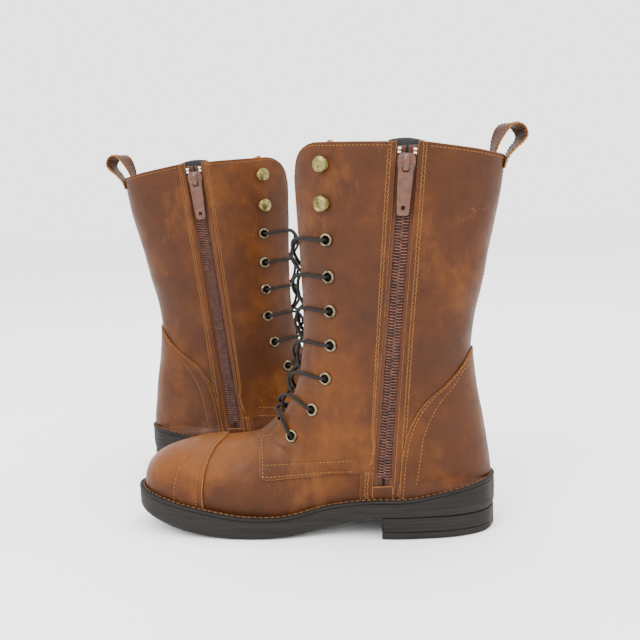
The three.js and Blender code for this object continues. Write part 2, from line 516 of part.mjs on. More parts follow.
// Sole: cut from plan outlines and side profiles.
function sole(parts) {
  const H = HEIGHT;
  const full = plan(footprint(WELT_MARGIN), -5, 60 * H);
  const topLine = shifted(WELT_TOP, -WELT / H - GAP / H);
  const slab = (upLine, downLine) => side([...upLine, ...downLine].reverse());
  parts.welt = full.subtract(plan(footprint(0.6, 2.8), -6, 61 * H)).intersect(
    slab(WELT_TOP, shifted(WELT_TOP, -WELT / H).reverse()));
  const outerPlan = plan(footprint(WELT_MARGIN - 0.6), -5, 60 * H);
  parts.outsole = outerPlan.intersect(slab(topLine, [...GROUND, [BREAST + 2, HEEL_SEAT], [-12, HEEL_SEAT]]));
  const heelPlan = plan(footprint(WELT_MARGIN - 1.2), -5, 60 * H);
  const block = (w0, w1, lean0, lean1) => heelPlan.intersect(
    slab([[-12, w1], [BREAST + lean1, w1]], [[BREAST + lean0, w0], [-12, w0]]));
  parts.heel_block = block(TOP_PIECE + GAP, HEEL_SEAT - GAP, 0.8, 1);
  parts.heel_top_piece = block(0, TOP_PIECE, 0, 0.6);
  const inset = -2 * LEATHER - 5 * GAP;
  const board = plan(footprint(inset - 0.8, inset - 3), -5, 60 * H);
  const rise = (a) => shifted(topLine, a / H);
  parts.insole_board = board.intersect(slab(rise(GAP + 2), rise(GAP).reverse()));
  const bed = plan(footprint(inset - 1.8, inset - 6), -5, 60 * H);
  parts.footbed = bed.intersect(slab(rise(2 * GAP + 5), rise(2 * GAP + 2).reverse()));
}

// How far forward the back of the shaft stands at a height.
function backLine(w) {
  let lo = 0, hi = 4;
  for (let i = 0; i < 30; i++) {
    const mid = (lo + hi) / 2;
    if (station(mid)[3] > w) lo = mid; else hi = mid;
  }
  return station(lo)[2];
}
// Pull tab: a leather band looped over the back of the rim.
function pullTab(parts) {
  const t = TAB.thick;
  const path = [[-10.8, 243], [-12.6, 258], [-18, 266], [-21.5, 273], [-20, 279], [-13.5, 281.5],
    [-6, 279], [-1.4, 270], [0.6, 259], [3.6, 247]]
    .map(([u, w]) => [u / LENGTH + backLine(w) * (1 - 1 / LENGTH), w]);
  const off = (k) => path.map(([u, w], i) => {
    const a = path[Math.max(0, i - 1)], b = path[Math.min(path.length - 1, i + 1)];
    const l = Math.hypot(b[0] - a[0], b[1] - a[1]);
    return [u - ((b[1] - a[1]) / l) * k, w + ((b[0] - a[0]) / l) * k];
  });
  const outline = [...off(t / 2), ...off(-t / 2).reverse()].reverse();
  parts.pull_tab = side(outline, -TAB.width / 2 / WIDTH, TAB.width / 2 / WIDTH);
}

// A path that a sweep follows corner by corner.
class Route extends THREE.Curve {
  constructor(points) {
    super();
    this.points = points.map((p) => new THREE.Vector3(...p));
  }
  getPoint(f) {
    const x = Math.min(this.points.length - 1.0001, f * (this.points.length - 1)), i = Math.floor(x + 1e-6);
    return this.points[i].clone().lerp(this.points[i + 1], Math.max(0, x - i));
  }
  getPointAt(f) { return f > 0.99999 ? this.points[this.points.length - 1].clone() : this.getPoint(f); }
  getTangentAt(f) {
    const i = Math.round(f * (this.points.length - 1)), last = this.points.length - 1;
    const back = i > 0 ? this.points[i].clone().sub(this.points[i - 1]).normalize() : null;
    const on = i < last ? this.points[i + 1].clone().sub(this.points[i]).normalize() : null;
    return back && on ? back.add(on).normalize() : back ?? on;
  }
}
// Where the facing edge stands beside each eyelet, counted in sections.
const EDGE_AT = [2.87, 3.72, 4.6, 5.57, 6.6, 7.5, 8.6];
// Lace: a bar across the lowest pair, then two ends climb and cross, ending inside the boot.
function lace(seats) {
  const inside = LEATHER + LINING + 2 * GAP + LACE / 2 + 0.2, last = EYELETS.length - 1;
  const seat = (sd, row, depth) => facet(sd, ...seats[sd > 0 ? 0 : 1].rows[row], depth);
  const edge = (sd, t, v, depth) => {
    let lo = 0.001, hi = 0.5;
    for (let i = 0; i < 24; i++) {
      const mid = (lo + hi) / 2;
      if (Math.abs(skin(sd, t, mid)[1]) < v * WIDTH) lo = mid; else hi = mid;
    }
    return facet(sd, t, lo, depth);
  };
  const over = (sd, row) => [edge(sd, EDGE_AT[row], THROAT + 1.5, -4.6), seat(sd, row, -4.2)];
  const climb = (start) => {
    const out = [];
    for (let row = last, sd = start; row > 0; row--, sd = -sd) {
      const t = (EDGE_AT[row] + EDGE_AT[row - 1]) / 2;
      out.push(seat(sd, row, inside), edge(sd, EDGE_AT[row], THROAT - 1.5, inside - 0.3));
      out.push(deep(1, t, 0, start > 0 ? -1.2 : -4.4), ...over(-sd, row - 1));
    }
    const end = last % 2 ? -start : start;
    out.push(seat(end, 0, inside), add(seat(end, 0, inside + 1), [-6, 0, -9]));
    return out;
  };
  const bar = [...over(1, last).reverse(), deep(1, EDGE_AT[last], 0, -2.4), ...over(-1, last)];
  const route = new Route([...climb(1).reverse(), ...bar, ...climb(-1)]);
  const ring = new THREE.Shape();
  for (let i = 0; i < 8; i++) {
    const a = (i + 0.5) * Math.PI / 4, x = LACE / 2 * Math.cos(a), y = LACE / 2 * Math.sin(a);
    if (i) ring.lineTo(x, y); else ring.moveTo(x, y);
  }
  const steps = route.points.length - 1;
  return solid(new THREE.ExtrudeGeometry(ring, { steps, extrudePath: route, bevelEnabled: false }));
}

// ---- the pair ---------------------------------------------------------------------------------------
const COLOURS = {
  outsole: 0x2f2b29, heel_block: 0x2f2b29, heel_top_piece: 0x252322, welt: 0x3a302a, insole_board: 0xa98c66,
  footbed: 0x6b6259, shaft_lining: 0x3c3c3e, tongue: 0x8a5327, zip_guard: 0x4a4a4c, zip_tape_front: 0x5a3320,
  zip_tape_rear: 0x5a3320, zip_coil_front: 0x6b3b26, zip_coil_rear: 0x6b3b26, zip_slider: 0xa8703c,
  zip_pull: 0xa8703c, lace: 0x3a3029,
};
const METAL = /eyelet|hook/;
const group = new THREE.Group();
const parts = boot();
for (const [prefix, place] of [['right', RIGHT], ['left', LEFT]]) {
  const a = place.turn * DEG, c = Math.cos(a), s = Math.sin(a), k = place.toe;
  const m = new THREE.Matrix4().set(k * c, k * s, 0, place.at[0], s, -c, 0, place.at[1], 0, 0, 1, 0, 0, 0, 0, 1);
  for (const [name, body] of Object.entries(parts)) {
    const mesh = body.getMesh();
    const g = new THREE.BufferGeometry();
    g.setAttribute('position', new THREE.BufferAttribute(Float32Array.from(mesh.vertProperties), 3));
    const idx = Uint32Array.from(mesh.triVerts);
    if (k > 0) for (let i = 0; i < idx.length; i += 3) [idx[i], idx[i + 1]] = [idx[i + 1], idx[i]];
    g.setIndex(new THREE.BufferAttribute(idx, 1));
    g.applyMatrix4(m);
    const colour = METAL.test(name) ? 0x8d6b3f : COLOURS[name] ?? 0xb0703a;
    const node = new THREE.Mesh(g, new THREE.MeshStandardMaterial({
      color: colour, metalness: METAL.test(name) ? 0.9 : 0.05, roughness: 0.55,
    }));
    node.name = `${prefix}_${name}`;
    group.add(node);
  }
}
const box = new THREE.Box3().setFromObject(group), middle = box.getCenter(new THREE.Vector3());
for (const node of group.children) node.geometry.translate(-middle.x, -middle.y, -box.min.z);
export default group;
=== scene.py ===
"""A pair of tan lace-up leather boots with inner side zips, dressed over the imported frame.

Shapes are worked out in each boot's own millimetres: u forward from the heel, v towards the
other boot, w up. place() takes them to the row frame in metres.
"""
import math

import bpy
import numpy as np
from mathutils import Matrix
from mathutils.kdtree import KDTree


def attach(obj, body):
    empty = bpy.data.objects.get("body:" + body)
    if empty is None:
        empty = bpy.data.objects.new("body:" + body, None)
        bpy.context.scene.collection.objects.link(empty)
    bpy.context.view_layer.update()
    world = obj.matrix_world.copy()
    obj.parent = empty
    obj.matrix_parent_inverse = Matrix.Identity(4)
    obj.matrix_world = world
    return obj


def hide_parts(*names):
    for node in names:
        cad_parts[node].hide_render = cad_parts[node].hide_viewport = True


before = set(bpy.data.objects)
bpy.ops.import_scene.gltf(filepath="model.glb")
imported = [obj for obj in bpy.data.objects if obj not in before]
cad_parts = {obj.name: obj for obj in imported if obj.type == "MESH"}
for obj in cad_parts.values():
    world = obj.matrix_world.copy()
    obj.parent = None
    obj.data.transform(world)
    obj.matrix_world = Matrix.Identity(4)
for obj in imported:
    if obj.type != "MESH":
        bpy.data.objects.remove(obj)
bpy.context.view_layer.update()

# ---- sizes in mm, as in the CAD ------------------------------------------------------------------
LEATHER = 1.8
LINING = 1.0
THROAT = 13.0                # half width of the laced opening
ZIP_SLOT = 7.2               # half width of the gap between the zip panels
WELT = 2.2
TOP_PIECE = 5.0
HEEL_SEAT = 15.3
BREAST = 82.0
LACE = 2.5
PITCH = 1.7                  # spacing of the panel meshes
THREAD = 0.36                # half thickness of the sewing thread
STRIP = 9.0                  # width of the piece of leather in front of the zip's foot
RIM_FRONT, RIM_BACK = 131.5, -2     # how far forward the rim starts and ends
RIM_AT_ZIP = {"front": 271.9, "rear": 271.0}   # height of the rim beside the slot
BACK_TOP = 260.2             # height of the rim at the back line
STRAP_FOOT = 46.9            # height where the strap's edge meets the zip
SOLE_LINE = 30.0             # height where the zip's line meets the sole
LINING_EDGE = {"gap": 15.6, "pitch": 3.6, "drop": 1.2}   # where the linings stop, and their mesh
COIL = {"pitch": 2.05, "middle": 2.0, "wide": 2.55, "high": 1.0, "lead": 0.42, "wire": 0.52, "start": 4}
TONGUE = {"top": 0.76, "foot": 11.2, "thick": 2.2, "sink": 9.0, "lean": 13.5}   # ends as sections
SOLE_WIDTHS = [(0.0, 4.2), (0.03, 4.7), (0.12, 4.85), (0.16, 4.6), (0.2, 4.85), (0.34, 4.95), (0.38, 4.75),
               (0.42, 4.95), (0.58, 4.9), (0.62, 4.7), (0.66, 4.9), (0.84, 4.75), (0.94, 4.2),
               (1.0, 3.2)]   # how far down the edge, and how far out

# heel point, turn of the foot line, and which way the toe points
STANDS = {
    "right": {"at": (141.697, -102.067), "turn": 7.7, "toe": -1},
    "left": {"at": (-142.303, 86.533), "turn": 2.0, "toe": 1},
}

# The last: front line (u, w), end line (u, w, medial v, lateral v), roundness at the front, turn
# of the front, direction of the end line in plan, reach along it, reach upwards.
FAN = np.array([
    [140, 302, -17, 294, 0, 0, 56, 0, 0, 54, 0],
    [140, 268, -9.5, 265, 0, 0, 56, 0, 0, 54, 0],
    [140, 236, -4, 232, 0, 0, 55, 0, 0, 53, 0],
    [139, 205, 3, 202, 0, 0, 54, 0, 0, 52, 0],
    [138, 176, 9, 173, 0, 0, 53, 0, 0, 51, 0],
    [138, 150, 15, 148, 0, 0, 52, 0, 0, 50, 0],
    [140, 127, 17, 124, 0, 0, 51, 0, 0, 49, 0],
    [145, 106, 15, 101, 0, 0, 50, 0, 0, 49, 0],
    [153, 90, 11.5, 80, 0, 0, 48, 0, 0, 48, 0],
    [161, 80, 8.8, 61, 0, 0, 45, 0, 0, 47, 0],
    [167, 75, 7, 47, 0, 0, 42, 0, 0, 45, 0],
    [170, 72.5, 7, 36.2, 0, 0, 40, 0, 0, 43, 0],
    [171.5, 71.5, 14, 35.2, 19, 19, 38, 0, 42, 32, 6],
    [172.5, 71, 35, 31, 29.5, 30, 36, 0, 80, 48, 12],
    [173.5, 70.5, 62, 26.5, 30, 31, 34, 0, 90, 42, 16],
    [175, 70, 90, 25.4, 28, 33, 32, 0, 88, 32, 20],
    [177, 69.3, 120, 20.6, 29.5, 37, 30, 0, 84, 20, 24],
    [181, 68.4, 150, 14, 36.5, 41, 29, 0, 82, 9, 27],
    [188, 67.3, 178, 13.7, 38.5, 41.5, 27, 0, 92, 2, 28],
    [199, 66.3, 203, 17.3, 37, 39, 26, 0, 98, 0, 27],
    [212, 65, 227, 22, 33.5, 34.5, 24, 6, 108, 0, 25],
    [223, 63, 246, 25.7, 25, 25.5, 20, 24, 130, 0, 22],
    [232, 60.8, 257.5, 27.8, 13.5, 14, 16, 55, 155, 0, 19],
    [238, 59, 262, 28.9, 0, 0, 13, 90, 180, 0, 17],
])
HEEL = 11                    # the section that ends at the back of the heel
TOE = len(FAN) - 1

# outlines seen from the side (u, w)
RIM = [(-9, 260.5), (10, 264.6), (28, 267.6), (46, 270.6), (65, 271.4), (107, 273.4), (120, 274),
       (125, 273), (128.5, 271.2), (131.5, 268.6)]
RIM_CORNER = [(131.5, 268.6), (134, 265), (135.6, 260.5), (136.5, 255)]
QUARTER_FRONT = [(169.6, 68), (169.3, 63), (168.7, 57), (168.1, 50), (167.6, 44), (166.3, 42)]
STRAP = [(166.3, 42), (163, 40.8), (138, 41.5), (110, 44.5), (86, 47)]
COUNTER = [(16.6, 128.5), (18.5, 126.6), (25, 117), (37, 105.5), (50, 95), (59, 82), (64.5, 68),
           (68, 48), (69.5, 27)]
CAP = [(196, 68), (202, 63), (206, 54.6), (208.5, 43.5), (209.7, 32.4), (209.5, 10)]
EYELETS = [(113.6, 208.4), (113.2, 183.2), (113, 159.6), (113.6, 136), (118.2, 112.5), (129, 90),
           (145.2, 70)]
HOOKS = [(114.3, 259), (114.9, 232.8)]
EDGE_AT = [2.87, 3.72, 4.6, 5.57, 6.6, 7.5, 8.6]   # sections where the facing edge is level with them
GROUND = [(276, 19), (255, 12.6), (235, 7.2), (215, 3), (195, 0.7), (175, 0), (158, 0.6),
          (140, 2.8), (122, 6.4), (105, 11.2), (88, 14.4), (84, HEEL_SEAT)]
ZIP_TOP, ZIP_FOOT = np.array([57, 41, 266.0]), np.array([80.5, 36.5, 37.0])
ZIP_END = 36.5               # height of the closed end of the slot
TAB = [(-7.2, 252), (-9.4, 259), (-13.6, 265), (-18.6, 269.5), (-21.4, 274), (-19.6, 279.3),
       (-13.5, 281.6), (-6.6, 279), (-1.6, 270), (0.6, 259), (3.6, 247)]
SOURCE_NOISE = 17            # seed of the leather's unevenness


# ---- helpers -------------------------------------------------------------------------------------
def unit(a):
    return a / np.maximum(np.linalg.norm(a, axis=-1, keepdims=True), 1e-12)


def grids(*values):
    """Numbers and arrays as float arrays of one shape."""
    return np.broadcast_arrays(*(np.asarray(x, float) for x in values))


def distances(path):
    """Distance along a path to each of its points."""
    return np.concatenate([[0], np.cumsum(np.linalg.norm(np.diff(path, axis=0), axis=1))])


def bisect(lo, hi, inside):
    """The ends of the stretches from lo towards hi where a test holds, found by halving."""
    for _ in range(30):
        mid = (lo + hi) / 2
        now = inside(mid)
        lo, hi = np.where(now, mid, lo), np.where(now, hi, mid)
    return lo


def wall(ids, ends=True):
    """Quads between rows of closed rings of point numbers, with the two ends capped."""
    nxt = np.roll(ids, -1, axis=1)
    faces = np.stack([ids[:-1], nxt[:-1], nxt[1:], ids[1:]], -1).reshape(-1, 4).tolist()
    return faces + [ids[0][::-1].tolist(), ids[-1].tolist()] if ends else faces


def added(name, data):
    """A new object in the scene."""
    obj = bpy.data.objects.new(name, data)
    bpy.context.scene.collection.objects.link(obj)
    return obj


# ---- the outer surface ---------------------------------------------------------------------------
def ease(a, b, c, d, f):
    """Catmull-Rom from b to c."""
    return b + 0.5 * f * (c - a + f * (2 * a - 5 * b + 4 * c - d + f * (3 * (b - c) + d - a)))


def station(t):
    """The last's values between its sections."""
    t = np.asarray(t, float)
    i = np.clip(np.floor(t).astype(int), 0, TOE - 1)
    a, b, c, d = (FAN[np.clip(i + k, 0, TOE)] for k in (-1, 0, 1, 2))
    return ease(a, b, c, d, (t - i)[..., None])


def bare(side, t, s):
    """Points of the outer surface; side is +1 medial or -1 lateral, a number or an array."""
    side, t, s = grids(side, t, s)
    fu, fw, eu, ew, vm, vl, k, turn, along, reach, rise = np.moveaxis(station(t), -1, 0)
    ev = np.maximum(0, np.where(side > 0, vm, vl))
    a, b, lift = np.radians(turn), np.radians(along), np.where(t < HEEL, 0, rise)
    q = 1 - s
    m = [q ** 3, 3 * q * q * s, 3 * q * s * s, s ** 3]
    u = [fu, fu + k * np.sin(a), eu + reach * np.sin(b) - 0.08 * lift * np.cos(b), eu]
    v = [0 * fu, k * np.cos(a), ev + reach * np.cos(b) + 0.08 * lift * np.sin(b), ev]
    w = [fw, fw - 0.3 * k * np.sin(a), ew + lift, ew]
    return np.stack([sum(x * y for x, y in zip(m, c)) for c in (u, v, w)], -1) * np.stack(
        [np.ones_like(side), side, np.ones_like(side)], -1)


def locate(side, u, w, f=bare):
    """(t, s) of the surface points seen from the side at (u, w)."""
    u, w = np.atleast_1d(np.asarray(u, float)), np.atleast_1d(np.asarray(w, float))
    t0, s0 = (g.ravel() for g in np.meshgrid(np.arange(0, TOE + 0.1, 0.5), np.arange(0.06, 1, 0.08)))
    p = f(side, t0, s0)
    best = np.argmin((p[:, 0] - u[:, None]) ** 2 + (p[:, 2] - w[:, None]) ** 2, axis=1)
    t, s = t0[best], s0[best]
    for _ in range(14):
        p, a, b = f(side, t, s), f(side, t + 1e-3, s), f(side, t, s + 1e-3)
        (tu, tw), (su, sw) = ((x[:, [0, 2]] - p[:, [0, 2]]).T / 1e-3 for x in (a, b))
        det = tu * sw - su * tw
        det = np.where(np.abs(det) < 1e-6, 1e-6, det)
        du, dw = u - p[:, 0], w - p[:, 2]
        t = np.clip(t + np.clip((sw * du - su * dw) / det, -1, 1), 0.01, TOE - 0.01)
        s = np.clip(s + np.clip((tu * dw - tw * du) / det, -0.2, 0.2), 0.03, 0.985)
    return t, s


def zip_at(w):
    """Points of the zip's straight line at those heights."""
    return ZIP_TOP + (ZIP_TOP[2] - np.asarray(w, float))[..., None] / (ZIP_TOP[2] - ZIP_FOOT[2]) * (
        ZIP_FOOT - ZIP_TOP)


def eased(side, t, s):
    """bare() with the turn of the sections at the heel spread over its neighbours."""
    side, t, s = grids(side, t, s)
    p = bare(side, t, s)
    near = np.abs(t - HEEL - 0.5) < 4.4
    if not near.any():
        return p
    k, tt, ss = side[near], t[near], s[near]
    reach = 2.1 * np.clip((1 - ss) / 0.16, 0, 1) * np.exp(-((tt - HEEL - 0.5) / 2.7) ** 4)
    shares = np.array([1, 2, 3, 3, 3, 2, 1]) / 15
    p[near] = sum(f * bare(k, tt + reach * x, ss) for f, x in zip(shares, np.linspace(-1, 1, 7)))
    return p


LEVEL_0, LEVEL_STEP, LEVEL_COUNT = 20, 22.5, 13
LEVELS = LEVEL_0 + LEVEL_STEP * np.arange(LEVEL_COUNT)
ZIP_POINTS = zip_at(LEVELS)
PULLS = ZIP_POINTS[:, 1] - eased(1, *locate(1, ZIP_POINTS[:, 0], LEVELS, eased))[:, 1]


def skin(side, t, s):
    """eased(), drawn to the straight line of the zip on the medial side."""
    p = eased(side, t, s)
    x = np.clip((p[..., 2] - LEVEL_0) / LEVEL_STEP, 0, LEVEL_COUNT - 1.001)
    i = np.floor(x).astype(int)
    pull = ease(*(PULLS[np.clip(i + k, 0, LEVEL_COUNT - 1)] for k in (-1, 0, 1, 2)), x - i)
    away = (p[..., 0] - zip_at(p[..., 2])[..., 0]) / 34
    near = np.exp(-away * away) * np.minimum(1, np.abs(p[..., 1]) / 12)
    p[..., 1] += np.where(np.asarray(side) > 0, pull * near, 0)
    return p


def normal(side, t, s):
    """Outward directions; along the foot line they lie level."""
    side, t, s = grids(side, t, s)
    h = 0.02
    ahead = np.where((np.abs(t - HEEL) < h) & (s > 0.9), t, np.minimum(TOE, t + h))
    dt = skin(side, ahead, s) - skin(side, np.maximum(0, t - h), s)
    ds = skin(side, t, np.minimum(1, s + h)) - skin(side, t, np.maximum(0, s - h))
    n = unit(np.cross(dt, ds) * side[..., None])
    along = np.radians(station(t)[..., 8])
    plan = np.stack([-np.cos(along), side * np.sin(along), 0 * t], -1)
    low = np.clip((s - 0.9) / 0.1, 0, 1) * np.clip((t - HEEL) / 0.3, 0, 1)
    return unit(n * (1 - low[..., None]) + plan * low[..., None])


def deep(side, t, s, depth):
    """Points at a depth below the surface."""
    p, n = skin(side, t, s), normal(side, t, s)
    seam = np.abs(p[..., 1]) < 1e-6
    n = np.where(seam[..., None], unit(n * [1, 0, 1]), n)
    return p - n * np.asarray(depth, float)[..., None]


# ---- smooth unevenness ---------------------------------------------------------------------------
def noise(p, size, seed):
    """Value noise of about -1 to 1 with features of that size in mm."""
    x = p / size + seed * 7.31
    i = np.floor(x).astype(np.int64)
    f = x - i
    f = f * f * (3 - 2 * f)
    total = 0
    for dx in (0, 1):
        for dy in (0, 1):
            for dz in (0, 1):
                j = i + [dx, dy, dz]
                k = (j[..., 0] * 73856093 ^ j[..., 1] * 19349663 ^ j[..., 2] * 83492791) & 0xFFFFF
                k = (k * 1103515 + 12345) & 0xFFFFF
                total = total + (k / 0x7FFFF - 1) * np.prod(
                    np.where([dx, dy, dz], f, 1 - f), axis=-1)
    return total


FOLDS = [  # shallow folds of worn leather seen from the side: (u, w), slope, length, width, depth
    ((120, 118), -0.55, 30, 8, 0.5), ((60, 140), 0.25, 42, 9, 0.6), ((52, 158), 0.1, 36, 9, 0.45),
    ((96, 150), -0.15, 40, 9, 0.4), ((184, 60), -1.6, 22, 5, 0.4), ((190, 50), -1.3, 20, 5, 0.3),
    ((40, 200), 0.12, 45, 10, 0.5), ((95, 205), -0.1, 30, 9, 0.35),
]


def relief(p, seed, rows=None):
    """How far the leather stands in (mm, positive inwards): folds, sag and stitched channels."""
    out = 0.42 * noise(p, 34, seed) + 0.16 * noise(p, 13, seed + 3) + 0.05 * noise(p, 5, seed + 5)
    for (u, w), slope, length, width, depth in FOLDS:
        du, dw = p[..., 0] - u, p[..., 2] - w
        k = math.hypot(1, slope)
        a, b = (du + slope * dw) / k, (dw - slope * du) / k
        out += depth * np.exp(-(a / length) ** 2 - (b / width) ** 2) * (1 if seed % 2 else 0.8)
    if rows is not None:
        flat = p.reshape(-1, 3)
        d = np.array([rows.find(x)[2] for x in flat]).reshape(p.shape[:-1])
        out = out + 0.34 * np.exp(-(d / 1.1) ** 2)
    return out


# ---- panels: four boundary lines in (t, s) -------------------------------------------------------
def densify(points, n=12):
    """The points with n - 1 more on each stretch between them."""
    points = np.asarray(points, float)
    f = np.linspace(0, 1, n, endpoint=False)[:, None]
    return np.concatenate([a + (b - a) * f for a, b in zip(points[:-1], points[1:])] + [points[-1:]])


def seen(side, outline, n=8):
    """A side outline as (t, s)."""
    uw = densify(outline, n)
    return np.stack(locate(side, uw[:, 0], uw[:, 1], skin), -1)


def spread(side, line, fractions):
    """(t, s) at those fractions of the line's length."""
    line = densify(line, 4)
    p = skin(side, line[:, 0], line[:, 1])
    run = distances(p)
    return np.stack([np.interp(fractions * run[-1], run, line[:, k]) for k in (0, 1)], -1), run[-1]


def steps(length, pitch):
    """Fractions along a side, closer together at its two cut edges."""
    n = max(2, round(length / pitch))
    edge = np.array([0, 0.35, 0.95]) / length
    inner = np.linspace(edge[-1], 1 - edge[-1], n)[1:-1]
    return np.concatenate([edge, inner, 1 - edge[::-1]])


class Panel:
    """A piece of the upper between left, right, top and bottom lines (top to bottom, left to right)."""

    def __init__(self, side, left, right, top, bottom, pitch=PITCH):
        self.side = side
        self.lines = [np.asarray(x, float) for x in (left, right, top, bottom)]
        sizes = [spread(side, x, np.array([0.0]))[1] for x in self.lines]
        self.high, self.wide = max(sizes[:2]), max(sizes[2:])
        self.b, self.a = steps(self.high, pitch), steps(self.wide, pitch)
        self.ts = self.at(self.a[None, :], self.b[:, None])

    def at(self, a, b):
        """(t, s) at fraction a from left to right and b from top to bottom."""
        a, b = np.broadcast_arrays(np.asarray(a, float), np.asarray(b, float))
        left, right = (spread(self.side, x, b.ravel())[0].reshape(b.shape + (2,)) for x in self.lines[:2])
        top, bottom = (spread(self.side, x, a.ravel())[0].reshape(a.shape + (2,)) for x in self.lines[2:])
        c = [self.lines[0][0], self.lines[1][0], self.lines[0][-1], self.lines[1][-1]]
        a, b = a[..., None], b[..., None]
        return ((1 - a) * left + a * right + (1 - b) * top + b * bottom - (1 - a) * (1 - b) * c[0]
                - a * (1 - b) * c[1] - (1 - a) * b * c[2] - a * b * c[3])

    def row(self, edge, inset, start=0.0, end=1.0, n=160):
        """A line of points that runs beside an edge, at that distance from it."""
        f = np.linspace(start, end, n)
        if edge in "lr":
            wide = self.span(f, True)
            a = inset / wide if edge == "l" else 1 - inset / wide
            return self.at(a, f)
        high = self.span(f, False)
        return self.at(f, inset / high if edge == "t" else 1 - inset / high)

    def span(self, f, across):
        """Lengths across or down the panel at those fractions of the other way."""
        g = np.linspace(0, 1, 24)
        ts = self.at(g[None, :], f[:, None]) if across else self.at(f[:, None], g[None, :])
        p = skin(self.side, ts[..., 0], ts[..., 1])
        return np.linalg.norm(np.diff(p, axis=1), axis=2).sum(1)

    def faces_at(self, outer, inner, seed=None, rows=None, soft=(1, 1, 1, 1)):
        """Outer and inner points; soft says which edges (l, r, t, b) are rolled over."""
        t, s = self.ts[..., 0], self.ts[..., 1]
        roll = np.zeros(t.shape)
        for i, sink in ((0, 0.55), (1, 0.14)):
            for k, part in enumerate((roll[:, i], roll[:, -1 - i], roll[i], roll[-1 - i])):
                if soft[k]:
                    part[...] = np.maximum(part, sink)
        depth = outer + roll
        if seed is not None:
            depth = depth + relief(skin(self.side, t, s), seed, rows)
            inner = inner + relief(skin(self.side, t, s), seed)
        return deep(self.side, t, s, depth), deep(self.side, t, s, inner)


# ---- meshes --------------------------------------------------------------------------------------
def shell(patches):
    """A closed skin over patches of (outer, inner, side); returns points, quads and which are edges."""
    pts, inn, quads = [], [], []
    base = 0
    for outer, inner, side in patches:
        n, m = outer.shape[:2]
        k = base + np.arange(n * m).reshape(n, m)
        q = np.stack([k[:-1, :-1], k[:-1, 1:], k[1:, 1:], k[1:, :-1]], -1).reshape(-1, 4)
        quads.append(q if side > 0 else q[:, ::-1])
        pts.append(outer.reshape(-1, 3))
        inn.append(inner.reshape(-1, 3))
        base += n * m
    pts, inn, quads = np.concatenate(pts), np.concatenate(inn), np.concatenate(quads)
    _, first, same = np.unique(np.round(pts * 2000).astype(np.int64), axis=0, return_index=True,
                               return_inverse=True)
    pts, inn, quads = pts[first], inn[first], same.reshape(-1)[quads]
    keep = [len(set(q)) > 2 for q in quads.tolist()]
    quads = quads[keep]
    edges = np.concatenate([quads[:, [i, (i + 1) % 4]] for i in range(4)])
    edges = edges[edges[:, 0] != edges[:, 1]]
    there = set(map(tuple, edges.tolist()))
    border = np.array([e for e in edges.tolist() if (e[1], e[0]) not in there])
    n = len(pts)
    rim = np.stack([border[:, 1], border[:, 0], border[:, 0] + n, border[:, 1] + n], -1)
    faces = np.concatenate([quads, quads[:, ::-1] + n, rim])
    cut = np.zeros(len(faces), bool)
    cut[2 * len(quads):] = True
    on_rim = np.zeros(2 * n, bool)
    on_rim[border.ravel()] = True
    cut[:len(quads)] = on_rim[quads].any(1)
    return np.concatenate([pts, inn]), faces, cut


def place(boot, p):
    """From a boot's own millimetres to the row frame in metres."""
    stand = STANDS[boot]
    a, k = math.radians(stand["turn"]), stand["toe"]
    c, s = math.cos(a), math.sin(a)
    u, v, w = np.moveaxis(np.asarray(p, float), -1, 0)
    x = k * (c * u + s * v) + stand["at"][0]
    return np.stack([x, s * u - c * v + stand["at"][1], w], -1) / 1000


def unplace(boot, xyz):
    """The way back from place()."""
    stand = STANDS[boot]
    a, k = math.radians(stand["turn"]), stand["toe"]
    x, y = xyz[:, 0] * 1000 - stand["at"][0], xyz[:, 1] * 1000 - stand["at"][1]
    c, s = math.cos(a), math.sin(a)
    return np.stack([k * c * x + s * y, k * s * x - c * y, xyz[:, 2] * 1000], -1)


def tidy(face):
    """A face without its repeated points."""
    out = []
    for i in face:
        if i not in out:
            out.append(i)
    return out


def piece(boot, name, points, faces, materials, which=None, body=None, replaces=(), slot=None, uv=None):
    """A mesh object of one boot from points in mm, riding on a body."""
    p = place(boot, points)
    faces = [tidy(f) for f in (faces.tolist() if isinstance(faces, np.ndarray) else faces)]
    volume = sum(
        float(np.dot(p[f[0]], np.cross(p[f[i]], p[f[i + 1]]))) for f in faces for i in range(1, len(f) - 1))
    if volume < 0:
        faces = [f[::-1] for f in faces]
    mesh = bpy.data.meshes.new(f"{boot}_{name}")
    mesh.from_pydata(p.tolist(), [], faces)
    for m in materials:
        mesh.materials.append(m)
    if which is not None:
        mesh.polygons.foreach_set("material_index", np.asarray(which, np.int32))
    if uv is not None:
        layer = mesh.uv_layers.new(name="UVMap")
        loops = np.zeros(len(mesh.loops), np.int32)
        mesh.loops.foreach_get("vertex_index", loops)
        layer.data.foreach_set("uv", np.asarray(uv, np.float32)[loops].ravel())
    mesh.shade_smooth()
    obj = added(f"{boot}_{name}", mesh)
    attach(obj, body or f"{boot}_boot")
    if replaces:
        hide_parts(*[f"{boot}_{n}" for n in replaces])
    return obj


def join(parts):
    """Several (points, faces) as one."""
    points, faces, base = [], [], 0
    for p, f in parts:
        points.append(np.asarray(p, float))
        faces += [[i + base for i in x] for x in (f.tolist() if isinstance(f, np.ndarray) else f)]
        base += len(p)
    return np.concatenate(points), faces


